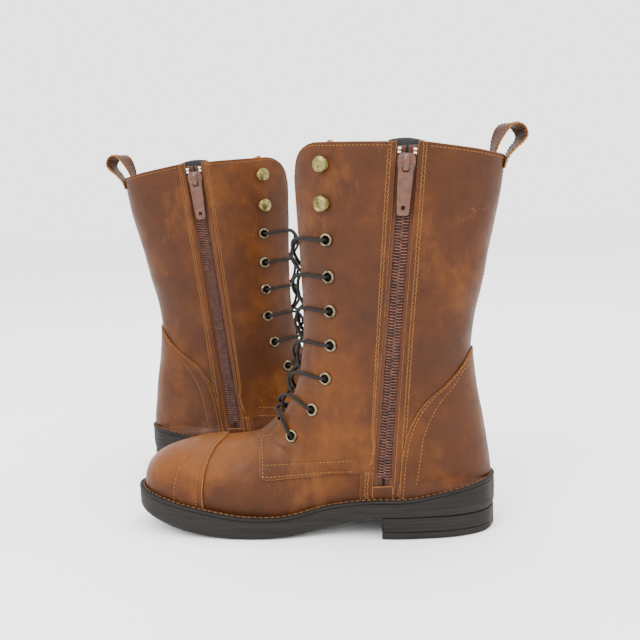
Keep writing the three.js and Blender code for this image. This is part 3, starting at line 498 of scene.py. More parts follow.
def lathe(profile, axis_from, axis_dir, n=28):
    """A ring or knob turned about an axis. A profile that ends where it starts makes a ring."""
    profile = np.asarray(profile, float)
    d = unit(np.asarray(axis_dir, float))
    e = unit(np.cross(d, [0, 0, 1.0] if abs(d[2]) < 0.9 else [1.0, 0, 0]))
    g = np.cross(d, e)
    a = np.arange(n) * 2 * math.pi / n
    ring = np.cos(a)[:, None] * e + np.sin(a)[:, None] * g
    pts = np.asarray(axis_from) + profile[:, None, :1] * ring[None] + profile[:, None, 1:] * d
    pts = pts.reshape(-1, 3)
    hollow = profile[0][0] > 1e-6 and np.allclose(profile[0], profile[-1])
    faces = wall(np.arange(len(pts)).reshape(-1, n), not hollow)
    if hollow:
        pts = pts[:-n]
        faces = [[i % len(pts) for i in f] for f in faces]
    return pts, faces


def smooth_path(points, n=10):
    """Catmull-Rom through the points."""
    p = np.asarray(points, float)
    p = np.concatenate([[2 * p[0] - p[1]], p, [2 * p[-1] - p[-2]]])
    f = np.linspace(0, 1, n, endpoint=False)[:, None]
    out = [ease(p[i - 1], p[i], p[i + 1], p[i + 2], f) for i in range(1, len(p) - 2)]
    return np.concatenate(out + [p[-2:-1]])


def tube(path, radius, sides=12, flat=1.0):
    """A round or flattened cord along a path, with (length, turn) as its UV."""
    t = unit(np.gradient(path, axis=0))
    n = np.zeros_like(t)
    n[0] = unit(np.cross(t[0], [0.3, 0.2, 1.0]))
    for i in range(1, len(t)):
        n[i] = unit(n[i - 1] - t[i] * np.dot(n[i - 1], t[i]))
    b = np.cross(t, n)
    a = np.arange(sides) * 2 * math.pi / sides
    r = np.broadcast_to(np.asarray(radius, float), (len(path),))[:, None, None]
    pts = path[:, None] + r * (np.cos(a)[None, :, None] * n[:, None]
                               + flat * np.sin(a)[None, :, None] * b[:, None])
    k = np.arange(pts.shape[0] * sides).reshape(-1, sides)
    nxt = np.roll(k, -1, axis=1)
    faces = np.stack([k[:-1], k[1:], nxt[1:], nxt[:-1]], -1).reshape(-1, 4).tolist()
    faces += [k[0].tolist(), k[-1][::-1].tolist()]
    uv = np.stack(np.broadcast_arrays(distances(path)[:, None] / 1000, a / (2 * math.pi)), -1)
    return pts.reshape(-1, 3), faces, uv.reshape(-1, 2)


def thread(p, n, pitch, length, slant=0.0, lift=0.1, radius=THREAD):
    """Stitches along a line of points p with normals n; slant turns each one across the row."""
    run = distances(p)
    count = max(1, int(run[-1] / pitch))
    mid = (np.arange(count) + 0.5) * run[-1] / count
    c = np.stack([np.interp(mid, run, p[:, k]) for k in range(3)], -1)
    up = unit(np.stack([np.interp(mid, run, n[:, k]) for k in range(3)], -1))
    g = np.gradient(p, axis=0)
    along = unit(np.stack([np.interp(mid, run, g[:, k]) for k in range(3)], -1))
    across = unit(np.cross(up, along))
    turn = slant * np.where(np.arange(count) % 2, 1, -1)[:, None]
    along = unit(along * np.cos(turn) + across * np.sin(turn))
    across = unit(np.cross(up, along))
    x = np.array([-0.5, -0.36, 0, 0.36, 0.5]) * length
    grow = np.array([0.3, 0.9, 1, 0.9, 0.3]) * radius
    high = np.array([-0.5, 0.0, lift, 0.0, -0.5])
    a = np.arange(5) * 2 * math.pi / 5
    cross = np.stack([np.zeros(5), np.cos(a), np.sin(a)], -1)
    local = np.stack([x, 0 * x, high], -1)[:, None] + grow[:, None, None] * cross[None]
    local = local.reshape(-1, 3)
    pts = (c[:, None] + local[None, :, :1] * along[:, None] + local[None, :, 1:2] * across[:, None]
           + local[None, :, 2:] * up[:, None])
    one = wall(np.arange(25).reshape(5, 5))
    faces = [[i + 25 * j for i in f] for j in range(count) for f in one]
    return pts.reshape(-1, 3), faces


# ---- materials -----------------------------------------------------------------------------------
def srgb(code):
    """A screen colour as linear values."""
    c = np.array([int(code[i:i + 2], 16) / 255 for i in (0, 2, 4)])
    return tuple(np.where(c < 0.04045, c / 12.92, ((c + 0.055) / 1.055) ** 2.4)) + (1.0,)


class Shader:
    """A node material. Keyword names with a capital are sockets, the others are node properties."""

    def __init__(self, name, **sockets):
        self.mat = bpy.data.materials.new(name)
        self.mat.use_nodes = True
        self.tree = self.mat.node_tree
        self.bsdf = self.tree.nodes["Principled BSDF"]
        self.set(self.bsdf, sockets)
        self.coord = self.put("TexCoord", out="Object")

    def set(self, node, values):
        for key, value in values.items():
            if key[0].islower():
                setattr(node, key, value)
                continue
            self.feed(node.inputs[key.replace("_", " ")], value)

    def feed(self, socket, value):
        if isinstance(value, bpy.types.NodeSocket):
            self.tree.links.new(value, socket)
        else:
            socket.default_value = value

    def put(self, kind, out=0, **values):
        node = self.tree.nodes.new("ShaderNode" + kind)
        self.set(node, values)
        return node.outputs[out]

    def scaled(self, x, y, z, coord=None):
        return self.put("Mapping", Vector=coord or self.coord, Scale=(x, y, z))

    def noise(self, scale, detail=3, rough=0.55, coord=None, bend=0.0):
        return self.put("TexNoise", Vector=coord or self.coord, Scale=scale, Detail=detail,
                        Roughness=rough, Distortion=bend)

    def cells(self, scale):
        return self.put("TexVoronoi", feature="F1", Vector=self.coord, Scale=scale)

    def attribute(self, name):
        return self.put("Attribute", out="Fac", attribute_name=name)

    def ramp(self, value, *stops):
        node = self.tree.nodes.new("ShaderNodeValToRGB")
        ramp = node.color_ramp
        while len(ramp.elements) < len(stops):
            ramp.elements.new(0.5)
        for e, (at, colour) in zip(ramp.elements, stops):
            e.position = at
            e.color = colour if isinstance(colour, tuple) else (colour, colour, colour, 1)
        self.tree.links.new(value, node.inputs[0])
        return node.outputs[0]

    def mix(self, factor, a, b, how="MIX"):
        node = self.tree.nodes.new("ShaderNodeMix")
        node.data_type, node.blend_type = "RGBA", how
        for i, value in ((0, factor), (6, a), (7, b)):
            self.feed(node.inputs[i], value)
        return node.outputs[2]

    def math(self, how, a, b):
        node = self.tree.nodes.new("ShaderNodeMath")
        node.operation = how
        for i, value in enumerate((a, b)):
            self.feed(node.inputs[i], value)
        return node.outputs[0]

    def blend(self, a, share_a, b, share_b):
        return self.math("ADD", self.math("MULTIPLY", a, share_a), self.math("MULTIPLY", b, share_b))

    def bump(self, height, mm, strength=1.0, under=None):
        values = {"Height": height, "Distance": mm / 1000, "Strength": strength}
        if under is not None:
            values["Normal"] = under
        return self.put("Bump", **values)

    def finish(self, **links):
        self.set(self.bsdf, links)
        return self.mat


def leather(name, dark, mid, light, worn, shine=0.46):
    """Cloudy pull-up leather with pores, pale haze, thin scuffs, and the painted highlight and tone stored
    on its points.
    """
    sh = Shader(name, Specular_IOR_Level=0.18)
    cloud = sh.blend(sh.noise(13, 3, 0.6), 0.62, sh.noise(62, 5, 0.62, bend=0.4), 0.38)
    # the points' attribute lightens the toe and the front as painted highlight, and adds random tone
    cloud = sh.math("ADD", cloud, sh.math("MULTIPLY", sh.attribute("highlight_and_tone"), 0.22))
    colour = sh.ramp(cloud, (0.3, srgb(dark)), (0.5, srgb(mid)), (0.72, srgb(light)))
    mark = sh.noise(85, 2, 0.5, coord=sh.scaled(1, 1, 0.7), bend=0.5)
    mark = sh.ramp(mark, (0.49, 0.0), (0.5, 1.0), (0.51, 0.0))
    rubbed = sh.ramp(sh.noise(38, 2), (0.6, 0.0), (0.68, 1.0))
    scuff = sh.math("MULTIPLY", sh.math("MULTIPLY", mark, rubbed), 0.4)
    haze = sh.ramp(sh.noise(30, 4, 0.7, coord=sh.scaled(1, 1, 0.45)), (0.58, 0.0), (0.78, 0.34))
    colour = sh.mix(haze, colour, srgb(worn))
    colour = sh.mix(scuff, colour, srgb(worn))
    speck = sh.ramp(sh.cells(420), (0.0, 0.86), (0.35, 1.0))
    colour = sh.mix(1.0, colour, speck, "MULTIPLY")
    pores = sh.math("ADD", sh.math("MULTIPLY", sh.cells(1150), 0.55), sh.noise(900, 4, 0.6))
    fine = sh.bump(pores, 0.16, 0.55)
    soft = sh.bump(sh.noise(170, 4, 0.6, bend=0.3), 0.55, 0.5, fine)
    rough = sh.ramp(sh.noise(46, 4, 0.6), (0.3, shine - 0.07), (0.7, shine + 0.14))
    return sh.finish(Base_Color=colour, Roughness=rough, Normal=soft)


def cut_edge(name, dark, light):
    """Matt fibres, for cut leather, board and thread."""
    sh = Shader(name, Roughness=0.85, Specular_IOR_Level=0.25)
    fibre = sh.noise(650, 5, 0.7)
    return sh.finish(Base_Color=sh.ramp(fibre, (0.35, srgb(dark)), (0.65, srgb(light))),
                     Normal=sh.bump(fibre, 0.25, 0.7))


def rubber(name, dark, light, streak=1.0):
    """Black rubber with level streaks and grime."""
    sh = Shader(name, Specular_IOR_Level=0.2)
    lines = sh.noise(95, 5, 0.7, coord=sh.scaled(0.22, 0.22, 4.2))
    grime = sh.noise(55, 4, 0.6)
    colour = sh.ramp(sh.blend(lines, 0.62, grime, 0.38), (0.36, srgb(dark)), (0.64, srgb(light)))
    fine = sh.bump(sh.noise(1200, 3), 0.1, 0.4)
    return sh.finish(Base_Color=colour, Normal=sh.bump(lines, 0.7 * streak, 0.6, fine),
                     Roughness=sh.ramp(grime, (0.3, 0.55), (0.7, 0.78)))


def woven(name, dark, light, scale, ridge=0.3, shine=0.85):
    """Plain weave with a little fuzz."""
    sh = Shader(name, Specular_IOR_Level=0.2, Sheen_Weight=0.25, Sheen_Roughness=0.5)
    waves = [sh.put("TexWave", out="Fac", wave_type="BANDS", bands_direction=d, Vector=sh.coord,
                    Scale=scale, Distortion=0.6, Detail=1.0) for d in ("X", "Z")]
    weave = sh.math("MAXIMUM", waves[0], waves[1])
    fuzz = sh.noise(500, 4, 0.7)
    height = sh.math("ADD", weave, sh.math("MULTIPLY", fuzz, 0.5))
    colour = sh.ramp(sh.math("MULTIPLY", height, 0.66), (0.2, srgb(dark)), (0.9, srgb(light)))
    return sh.finish(Base_Color=colour,
                     Roughness=sh.ramp(fuzz, (0.3, shine - 0.08), (0.7, min(1, shine + 0.08))),
                     Normal=sh.bump(height, ridge, 0.6))


def metal(name, dark, light, rough, patina, metallic=1.0, coat=0.0):
    """Worn metal or enamel with dark spots."""
    sh = Shader(name, Metallic=metallic, Coat_Weight=coat, Coat_Roughness=0.15)
    wear = sh.noise(230, 5, 0.65)
    spots = sh.ramp(sh.noise(620, 3), (0.5, 0.0), (0.66, patina))
    colour = sh.mix(spots, sh.ramp(wear, (0.36, srgb(dark)), (0.62, srgb(light))), srgb(dark))
    return sh.finish(Base_Color=colour, Normal=sh.bump(wear, 0.12, 0.35),
                     Roughness=sh.ramp(wear, (0.35, rough + 0.12), (0.65, rough)))


def cord(name, dark, light):
    """Plaited waxed cord, laid along its UV."""
    sh = Shader(name, Roughness=0.75, Specular_IOR_Level=0.2)
    uv = sh.put("TexCoord", out="UV")
    plait = [sh.put("TexWave", out="Fac", wave_type="BANDS", bands_direction="DIAGONAL", wave_profile="SIN",
                    Vector=sh.scaled(260, k, 1, coord=uv), Scale=1.0) for k in (1.6, -1.6)]
    weave = sh.math("MAXIMUM", *plait)
    colour = sh.ramp(sh.blend(weave, 0.6, sh.noise(300, 3), 0.4), (0.2, srgb(dark)), (0.85, srgb(light)))
    return sh.finish(Base_Color=colour, Normal=sh.bump(weave, 0.22, 0.7))


MATS = {
    "leather": leather("tan_leather", "2d1402", "3d1c02", "5b3006", "78481a"),
    "leather_inner": leather("tongue_leather", "2c1608", "4a2510", "633a1b", "7c4f2a", 0.6),
    "edge": cut_edge("cut_leather_edge", "56300f", "8a5a2c"),
    "flesh": cut_edge("leather_flesh_side", "472c19", "6a4a2e"),
    "thread": cut_edge("sewing_thread", "5f3816", "875a2b"),
    "welt_thread": cut_edge("welt_thread", "3f2a1a", "6e4c30"),
    "rubber": rubber("sole_rubber", "0c0a08", "201c17"),
    "welt": rubber("welt_rubber", "0a0807", "1a1612", 0.5),
    "lining": woven("lining_textile", "121214", "2c2c2f", 260),
    "tape": woven("zip_tape", "2a1308", "55301a", 420, 0.2),
    "coil": metal("zip_coil", "280f07", "5c3220", 0.3, 0.2, 0.0),
    "enamel": metal("zip_enamel", "381806", "56290c", 0.3, 0.1, 0.0, 0.15),
    "silver": metal("zip_stop_metal", "b9b6b0", "eeece8", 0.25, 0.1),
    "brass": metal("antique_brass", "4c4326", "8f8352", 0.3, 0.7),
    "eyelet": metal("antique_eyelet", "3a3226", "8c7d62", 0.3, 0.7),
    "lace": cord("lace_cord", "070605", "1b1612"),
    "board": cut_edge("insole_board", "5b4730", "8a6f4e"),
    "footbed": woven("footbed_textile", "37322c", "585148", 300),
}


# ---- the upper -----------------------------------------------------------------------------------
def facing(side, t):
    """(t, s) of the facing edge: the laced opening is THROAT wide to each side, wider at the toe."""
    def in_throat(s):
        p = skin(side, t, s)
        half = np.interp(p[:, 0], [150, 164, 176], [THROAT, THROAT + 3, THROAT + 14])
        return np.abs(p[:, 1]) < half

    return np.stack([t, bisect(np.full(len(t), 1e-3), np.full(len(t), 0.6), in_throat)], -1)


def on_back(w):
    """Section whose end point on the back line has that height."""
    t = np.linspace(0, HEEL, 1200)
    return float(np.interp(-w, -station(t)[:, 3], t))


def at_foot(u):
    """Section whose end point on the foot line is that far forward."""
    t = np.linspace(HEEL, TOE, 1200)
    return float(np.interp(u, station(t)[:, 2], t))


def rim_line(side, start, end, drop=0.0):
    """The rim from one u to another, front to back; it may end on the back line."""
    u, w = densify(RIM, 6).T
    keep = (u >= end) & (u <= start)
    at = np.concatenate([[end], u[keep], [start]])
    t, s = locate(side, at[::-1], np.interp(at, u, w)[::-1] - drop, skin)
    return np.stack([t, s], -1)


def facing_edge(side):
    """The quarter's front edge from the rim down to the strap."""
    corner = seen(side, RIM_CORNER)
    run = facing(side, np.linspace(corner[-1, 0] + 0.1, 9.7, 70))
    return np.concatenate([corner, run, seen(side, QUARTER_FRONT)])


def zip_edge(offset, high, low):
    """A line beside the zip between two heights."""
    w = np.linspace(high, low, 60)
    t, s = locate(1, zip_at(w)[:, 0] + offset, w, skin)
    return np.stack([t, s], -1)


def straight(a, b, n=30):
    return np.linspace(np.asarray(a, float), np.asarray(b, float), n)


BACK_END = (float(HEEL), 1.0)


def front_quarter(gap=ZIP_SLOT, pitch=PITCH, drop=0.0):
    """From the throat to the zip; gap is its distance from the zip's line, drop from the rim."""
    rim = RIM_AT_ZIP["front"]
    left, right = facing_edge(1), zip_edge(gap, rim - drop, STRAP_FOOT)
    top = rim_line(1, RIM_FRONT, zip_at(rim)[0] + gap, drop)
    strap = seen(1, [p for p in STRAP if p[0] > 95] + [(ZIP_FOOT[0] + gap - 1, STRAP_FOOT)])
    top[0], top[-1], strap[0], strap[-1] = left[0], right[0], left[-1], right[-1]
    return Panel(1, left, right, top, strap, pitch)


def strip():
    """The leather in front of the zip, from the strap down to the sole."""
    lines = []
    for k in (STRIP, 0):
        high, low, foot = (zip_at(w)[0] + ZIP_SLOT + k for w in (STRAP_FOOT, SOLE_LINE + 1, SOLE_LINE))
        line = seen(1, [(high, STRAP_FOOT), (low, SOLE_LINE + 1)])
        lines.append(np.concatenate([line, [(at_foot(foot), 1.0)]]))
    left, right = lines
    return Panel(1, left, right, straight(left[0], right[0]), straight(left[-1], right[-1]), PITCH)


def rear_quarter(gap=ZIP_SLOT, pitch=PITCH, drop=0.0):
    """From the zip to the back line."""
    rim = RIM_AT_ZIP["rear"]
    foot = (at_foot(zip_at(SOLE_LINE)[0] - gap), 1.0)
    left = np.concatenate([zip_edge(-gap, rim - drop, SOLE_LINE + 0.5), [foot]])
    top = rim_line(1, zip_at(rim)[0] - gap, RIM_BACK, drop)
    top[0] = left[0]
    back = (on_back(BACK_TOP - drop), 1.0)
    return Panel(1, left, straight(back, BACK_END), np.concatenate([top, [back]]),
                 straight(foot, BACK_END), pitch)


def lateral_quarter(pitch=PITCH, drop=0.0):
    """The whole outer side, from the throat to the back line."""
    left = facing_edge(-1)
    top = rim_line(-1, RIM_FRONT, RIM_BACK, drop)
    top[0] = left[0]
    back = (on_back(BACK_TOP - drop), 1.0)
    low = seen(-1, STRAP + [(68, 48.5), (46, 47), (24, 41)])
    low[0] = left[-1]
    return Panel(-1, left, straight(back, BACK_END), np.concatenate([top, [back]]),
                 np.concatenate([low, [BACK_END]]), pitch)


def zip_foot():
    """The closed end of the zip slot, down to the welt."""
    half = ZIP_SLOT - 0.1
    ends = [(at_foot(zip_at(SOLE_LINE)[0] + k * half), 1.0) for k in (1, -1)]
    left = np.concatenate([zip_edge(half, ZIP_END, SOLE_LINE + 1), [ends[0]]])
    right = np.concatenate([zip_edge(-half, ZIP_END + 1.0, SOLE_LINE + 0.5), [ends[1]]])
    return Panel(1, left, right, straight(left[0], right[0]), straight(ends[0], ends[1]), PITCH)


def counter(side):
    """Half of the heel counter, which lies on the quarters."""
    line = seen(side, smooth_path([(u, 0, w) for u, w in COUNTER], 6)[:, [0, 2]], 2)
    corner = int(np.argmin(np.abs(line[:, 0] - seen(side, [COUNTER[2], COUNTER[3]])[0, 0])))
    top_back, foot = (on_back(128.9), 1.0), (at_foot(69.7), 1.0)
    left = np.concatenate([line[corner:], [foot]])
    top = np.concatenate([line[:corner + 1][::-1], [top_back]])
    top[0] = left[0]
    return Panel(side, left, straight(top_back, BACK_END), top, straight(foot, BACK_END), PITCH)


def cap_at(side, s):
    """Section where the toe cap's seam crosses each s."""
    u, w = np.array(CAP[::-1], float).T

    def behind(t):
        p = skin(side, t, s)
        return p[:, 0] < np.interp(p[:, 2], w, u)

    return bisect(np.full(len(s), 16.5), np.full(len(s), 21.5), behind)


def fan_patch(side, first, last, n, m):
    """(t, s) grid from section first(s) to last(s), s from the ridge to the foot line."""
    s = np.linspace(0, 1, m)
    t0, t1 = first(side, s), last(side, s)
    f = np.linspace(0, 1, n)
    f[1:3] = [0.006, 0.016]
    t = t0[None, :] + (t1 - t0)[None, :] * f[:, None]
    return t, np.broadcast_to(s, t.shape)


def patch_faces(side, t, s, outer, thick, seed, rows, roll=True):
    """Outer and inner points of half a fan patch, its first edge rolled over and its ridge in the middle."""
    p = skin(side, t, s)
    dent = relief(p, seed, rows)
    depth = outer + dent
    if roll:
        depth[0] += 0.5
        depth[1] += 0.12
    seam = np.abs(p[..., 1]) < 1e-6
    a, b = deep(side, t, s, depth), deep(side, t, s, outer + thick + relief(p, seed))
    for x in (a, b):
        x[seam, 1] = 0
    return a, b, side


def stitch_rows():
    """Every sewn row: (side, (t, s) line, height above the surface, pitch, length, slant)."""
    out = []

    def add(side, ts, height=0.0, pitch=2.7, length=2.15, slant=0.0):
        out.append((side, ts, height, pitch, length, slant))

    q, r, l = PANELS["medial_front_quarter"], PANELS["medial_rear_quarter"], PANELS["lateral_quarter"]
    for panel in (q, l):
        add(panel.side, panel.row("l", 2.4, 0.004, 0.995))
        add(panel.side, panel.row("t", 2.6, 0.02, 0.96))
    add(1, r.row("t", 2.6, 0.1, 0.98))
    for panel, edge in ((q, "r"), (r, "l"), (PANELS["strip"], "r")):
        for inset, turn in ((3.4, 0.62), (5.3, -0.62)):
            add(1, panel.row(edge, inset, 0.002, 0.97 if panel is not r else 0.985), 0, 1.55, 1.75, turn)
    for side in (1, -1):
        end = 98 if side > 0 else 72
        for up in (2.0, 9.6):
            line = [(u - 0.6, w + up) for u, w in densify(STRAP[1:], 6) if u > end]
            add(side, seen(side, [(166.2, line[0][1] + 0.4)] + line[1:], 2))
    for panel in (r, l):
        add(panel.side, panel.row("r", 2.4, 0.02, 0.52))
    for side in (1, -1):
        c = PANELS["heel_counter", side]
        for inset in (2.2, 9.5):
            add(side, c.row("l", inset, 0.02, 0.985 if inset < 5 else 0.9), 1.5)
            add(side, c.row("t", inset, 0.05, 0.97), 1.5)
        s = np.linspace(0.02, 0.97, 120)
        for ahead in (0.2, 0.95):
            add(side, np.stack([cap_at(side, s) + ahead, s], -1))
    return out


PANELS = {
    "medial_front_quarter": front_quarter(),
    "medial_rear_quarter": rear_quarter(),
    "lateral_quarter": lateral_quarter(),
    "zip_foot": zip_foot(),
    "strip": strip(),
    ("heel_counter", 1): counter(1),
    ("heel_counter", -1): counter(-1),
}
ROWS = stitch_rows()
SEATS = {side: [tuple(float(x[0]) for x in locate(side, u, w, skin)) for u, w in EYELETS + HOOKS]
         for side in (1, -1)}


def row_points():
    """The sewn rows' points, to find the nearest one."""
    pts = np.concatenate([skin(side, *densify(ts, 4).T) for side, ts, *_ in ROWS])
    tree = KDTree(len(pts))
    for i, p in enumerate(pts):
        tree.insert(p, i)
    tree.balance()
    return tree


CHANNELS = row_points()


def paint_highlight_and_tone(boot, obj):
    """Vertex attribute: painted highlight on the toe cap and on a band low across the front, darker low down
    and behind, and random tone.
    """
    p = np.zeros(len(obj.data.vertices) * 3)
    obj.data.vertices.foreach_get("co", p)
    u, v, w = unplace(boot, p.reshape(-1, 3)).T
    ends = station(np.linspace(HEEL, TOE, 60))
    foot = np.interp(u, ends[:, 2], ends[:, 3])
    # painted highlight: paler on the top of the toe cap, and along a band about 75 mm high towards the front
    highlight_and_tone = 1.1 * np.clip((u - 168) / 40, 0, 1) * np.clip((w - 30) / 28, 0, 1)
    highlight_and_tone += 0.35 * np.exp(-((w - 75) / 32) ** 2) * np.clip((u - 60) / 60, 0, 1)
    highlight_and_tone -= 0.75 * np.exp(-np.clip(w - foot, 0, 99) / 5.0)
    highlight_and_tone -= 0.25 * np.clip((w - 190) / 60, 0, 1) * np.clip((70 - u) / 60, 0, 1)
    highlight_and_tone += 0.3 * noise(np.stack([u, v, w], -1), 42, 31 if boot == "right" else 37)
    attr = obj.data.attributes.new("highlight_and_tone", "FLOAT", "POINT")
    attr.data.foreach_set("value", highlight_and_tone.astype(np.float32))


def cut(boot, obj, cutters):
    """Takes (points, faces) in mm out of a piece."""
    pts, faces = join(cutters)
    mesh = bpy.data.meshes.new("cutter")
    mesh.from_pydata(place(boot, pts).tolist(), [], faces)
    mesh.validate()
    tool = added("cutter", mesh)
    for body in (obj, tool):
        flip_out(body.data)
    mod = obj.modifiers.new("cut", "BOOLEAN")
    mod.operation, mod.object, mod.solver = "DIFFERENCE", tool, "EXACT"
    done = bpy.data.meshes.new_from_object(obj.evaluated_get(bpy.context.evaluated_depsgraph_get()))
    done.name = obj.data.name + "_cut"
    obj.modifiers.clear()
    obj.data = done
    bpy.data.objects.remove(tool)


def flip_out(mesh):
    """Turns a closed mesh so that its faces look outwards."""
    mesh.calc_loop_triangles()
    p = np.zeros(len(mesh.vertices) * 3)
    mesh.vertices.foreach_get("co", p)
    p = p.reshape(-1, 3)
    tri = np.zeros(len(mesh.loop_triangles) * 3, np.int32)
    mesh.loop_triangles.foreach_get("vertices", tri)
    a, b, c = (p[tri.reshape(-1, 3)[:, i]] for i in range(3))
    if np.einsum("ij,ij->", a, np.cross(b, c)) < 0:
        mesh.flip_normals()


def upper(boot, seed):
    """Quarters, the pieces by the zip's foot, counter, toe cap and vamp."""
    skins = [MATS["leather"], MATS["edge"], MATS["flesh"]]

    def leather_piece(name, patches, replaces, holes=()):
        pts, faces, rim = shell(patches)
        which = np.where(rim, 1, 0)
        which[(faces >= len(pts) // 2).all(1)] = 2
        obj = piece(boot, name, pts, faces, skins, which, replaces=replaces, slot="upper_leather")
        if holes:
            cut(boot, obj, holes)
        paint_highlight_and_tone(boot, obj)

    def bores(side):
        """Cutters for the eyelets' holes, and smaller ones for the hooks'."""
        out = []
        for i, (t, s) in enumerate(SEATS[side]):
            r = 3.4 if i < len(EYELETS) else 1.5
            out.append(lathe([(r, -6), (r, 4)], skin(side, t, s), normal(side, t, s), 16))
        return out

    for name in ("medial_front_quarter", "medial_rear_quarter", "lateral_quarter"):
        panel = PANELS[name]
        a, b = panel.faces_at(0.0, LEATHER, seed, CHANNELS)
        holes = () if name == "medial_rear_quarter" else bores(panel.side)
        leather_piece(name, [(a, b, 1)], [name], holes)
    for name, soft in (("zip_foot", (0, 0, 1, 0)), ("strip", (1, 1, 0, 0))):
        a, b = PANELS[name].faces_at(0.2 if name == "zip_foot" else 0.05, 1.9, seed, CHANNELS, soft)
        leather_piece(f"{name}_leather", [(a, b, 1)], [])

    patches = []
    for side in (1, -1):
        panel = PANELS["heel_counter", side]
        a, b = panel.faces_at(-1.45, -0.1, seed, CHANNELS, soft=(1, 0, 1, 0))
        for x in (a, b):
            x[:, -1, 1] = 0
        patches.append((a, b, side))
    leather_piece("heel_counter", patches, ["heel_counter"])

    caps = []
    for side in (1, -1):
        t, s = fan_patch(side, cap_at, lambda sd, x: np.full(len(x), float(TOE)), 62, 60)
        caps.append(patch_faces(side, t, s, 0.0, LEATHER, seed, CHANNELS))
    for a, b, _ in caps:
        a[-1, :, 1] = b[-1, :, 1] = 0
    leather_piece("toe_cap", caps, ["toe_cap"])

    vamps = []
    for side in (1, -1):
        back = [9.0, 9.15, 9.8, 11.2, 13.0, 14.1, 14.95] if side > 0 else [
            9.0, 9.15, 9.8, 10.7, 11.2, 11.5, 11.6]
        t, s = fan_patch(side, lambda sd, x: np.interp(x, [0, 0.1, 0.25, 0.4, 0.6, 0.8, 1], back),
                         lambda sd, x: cap_at(sd, x) + 0.9, 76, 60)
        vamps.append(patch_faces(side, t, s, LEATHER + 0.1, LEATHER, seed + 1, None, roll=False))
    leather_piece("vamp", vamps, ["vamp"])


def sewing(boot, seed):
    """All the rows of stitches as one piece."""
    parts = []
    for side, ts, height, pitch, length, slant in ROWS:
        t, s = densify(ts, 3).T
        p = skin(side, t, s)
        depth = relief(p, seed, CHANNELS) - height - 0.12
        parts.append(thread(deep(side, t, s, depth), normal(side, t, s), pitch, length, slant))
    pts, faces = join(parts)
    piece(boot, "upper_stitching", pts, faces, [MATS["thread"]])


def linings(boot, seed):
    """Textile behind each quarter."""
    outside = {k: LINING_EDGE[k] for k in ("pitch", "drop")}
    face = LEATHER + 0.15
    for name, panel, stands_for in (
            ("front_lining", front_quarter(**LINING_EDGE), ["medial_front_lining"]),
            ("shaft_lining", rear_quarter(**LINING_EDGE), ["shaft_lining"]),
            ("lateral_lining", lateral_quarter(**outside), [])):
        pts, faces, _ = shell([(*panel.faces_at(face, face + LINING, seed), 1)])
        piece(boot, name, pts, faces, [MATS["lining"]], replaces=stands_for, slot="lining")


def tongue(boot, seed):
    """A folded sheet under the throat, whose top leans back into the shaft."""
    n, m = 120, 30
    f = np.linspace(0, 1, n)[:, None]
    x = np.linspace(-1, 1, m)[None, :]
    t = TONGUE["top"] + 0.12 * x ** 2 * (1 - f) + (TONGUE["foot"] - TONGUE["top"]) * f
    s = np.abs(x) * (0.215 + 0.035 * np.minimum(1, f * 6) + 0.16 * np.clip((t - 7.5) / 2, 0, 1)) + 0 * t
    side = np.where(x < 0, -1, 1) + 0 * t.astype(int)
    sink = TONGUE["sink"] - 3.5 * np.clip((t - 9.2) / 1.8, 0, 1)
    lean = TONGUE["lean"] * np.maximum(0, 2 - t)
    wave = 0.5 * noise(np.stack([t * 25, x * 16 + 0 * t, 0 * t], -1), 17, seed) + 0.9 * np.exp(
        -((t - 1.0) / 0.35) ** 2) * np.cos(3 * x)
    layers = []
    for extra in (0, TONGUE["thick"]):
        p = deep(side, t, s, sink + wave + extra)
        p[..., 0] -= lean
        layers.append(p)
    pts, faces, rim = shell([(*layers, 1)])
    obj = piece(boot, "tongue", pts, faces, [MATS["leather_inner"], MATS["edge"]], np.where(rim, 1, 0),
                replaces=["tongue"], slot="upper_leather")
    paint_highlight_and_tone(boot, obj)


def pull_tab(boot):
    """A loop of leather strap over the back of the rim, with its two sewn edges."""
    path = smooth_path([(u, 0, w) for u, w in TAB], 8)
    t = unit(np.gradient(path, axis=0))
    n = np.cross([0, 1, 0], t)
    half, thick = 8.0, 0.8

    def turned(p):
        """The loop has turned a little towards the medial side."""
        a = np.radians(34) * np.clip((p[:, 2] - 258) / 20, 0, 1)
        u, v = p[:, 0] + 9, p[:, 1]
        return np.stack([u * np.cos(a) - v * np.sin(a) - 9, u * np.sin(a) + v * np.cos(a), p[:, 2]], -1)

    section = [(-half, 0), (-half + 0.25, 0.62), (-half + 0.9, thick)] + [
        (x, thick) for x in np.linspace(-half + 2, half - 2, 6)] + [
        (half - 0.9, thick), (half - 0.25, 0.62), (half, 0)]
    section += [(x, -y) for x, y in section[1:-1][::-1]]
    k = len(section)
    pts = np.concatenate([[c + [0, x, 0] + y * d for x, y in section] for c, d in zip(path, n)])
    faces = wall(np.arange(len(path) * k).reshape(-1, k))
    edge = [1 if abs(section[j][0]) > half - 0.3 and abs(section[(j + 1) % k][0]) > half - 0.3 else 0
            for _ in range(len(path) - 1) for j in range(k)] + [1, 1]
    obj = piece(boot, "pull_tab", turned(pts), faces, [MATS["leather"], MATS["edge"]], edge,
                replaces=["pull_tab"], slot="upper_leather")
    paint_highlight_and_tone(boot, obj)
    rows = []
    sewn, out = path[4:-6], n[4:-6]
    for inset in (half - 1.6, -half + 1.6):
        for sign in (1, -1):
            rows.append(thread(sewn + [0, inset, 0] + sign * out * (thick + 0.05), sign * out, 2.6, 2.0))
    pts, faces = join(rows)
    piece(boot, "pull_tab_stitching", turned(pts), faces, [MATS["thread"]])


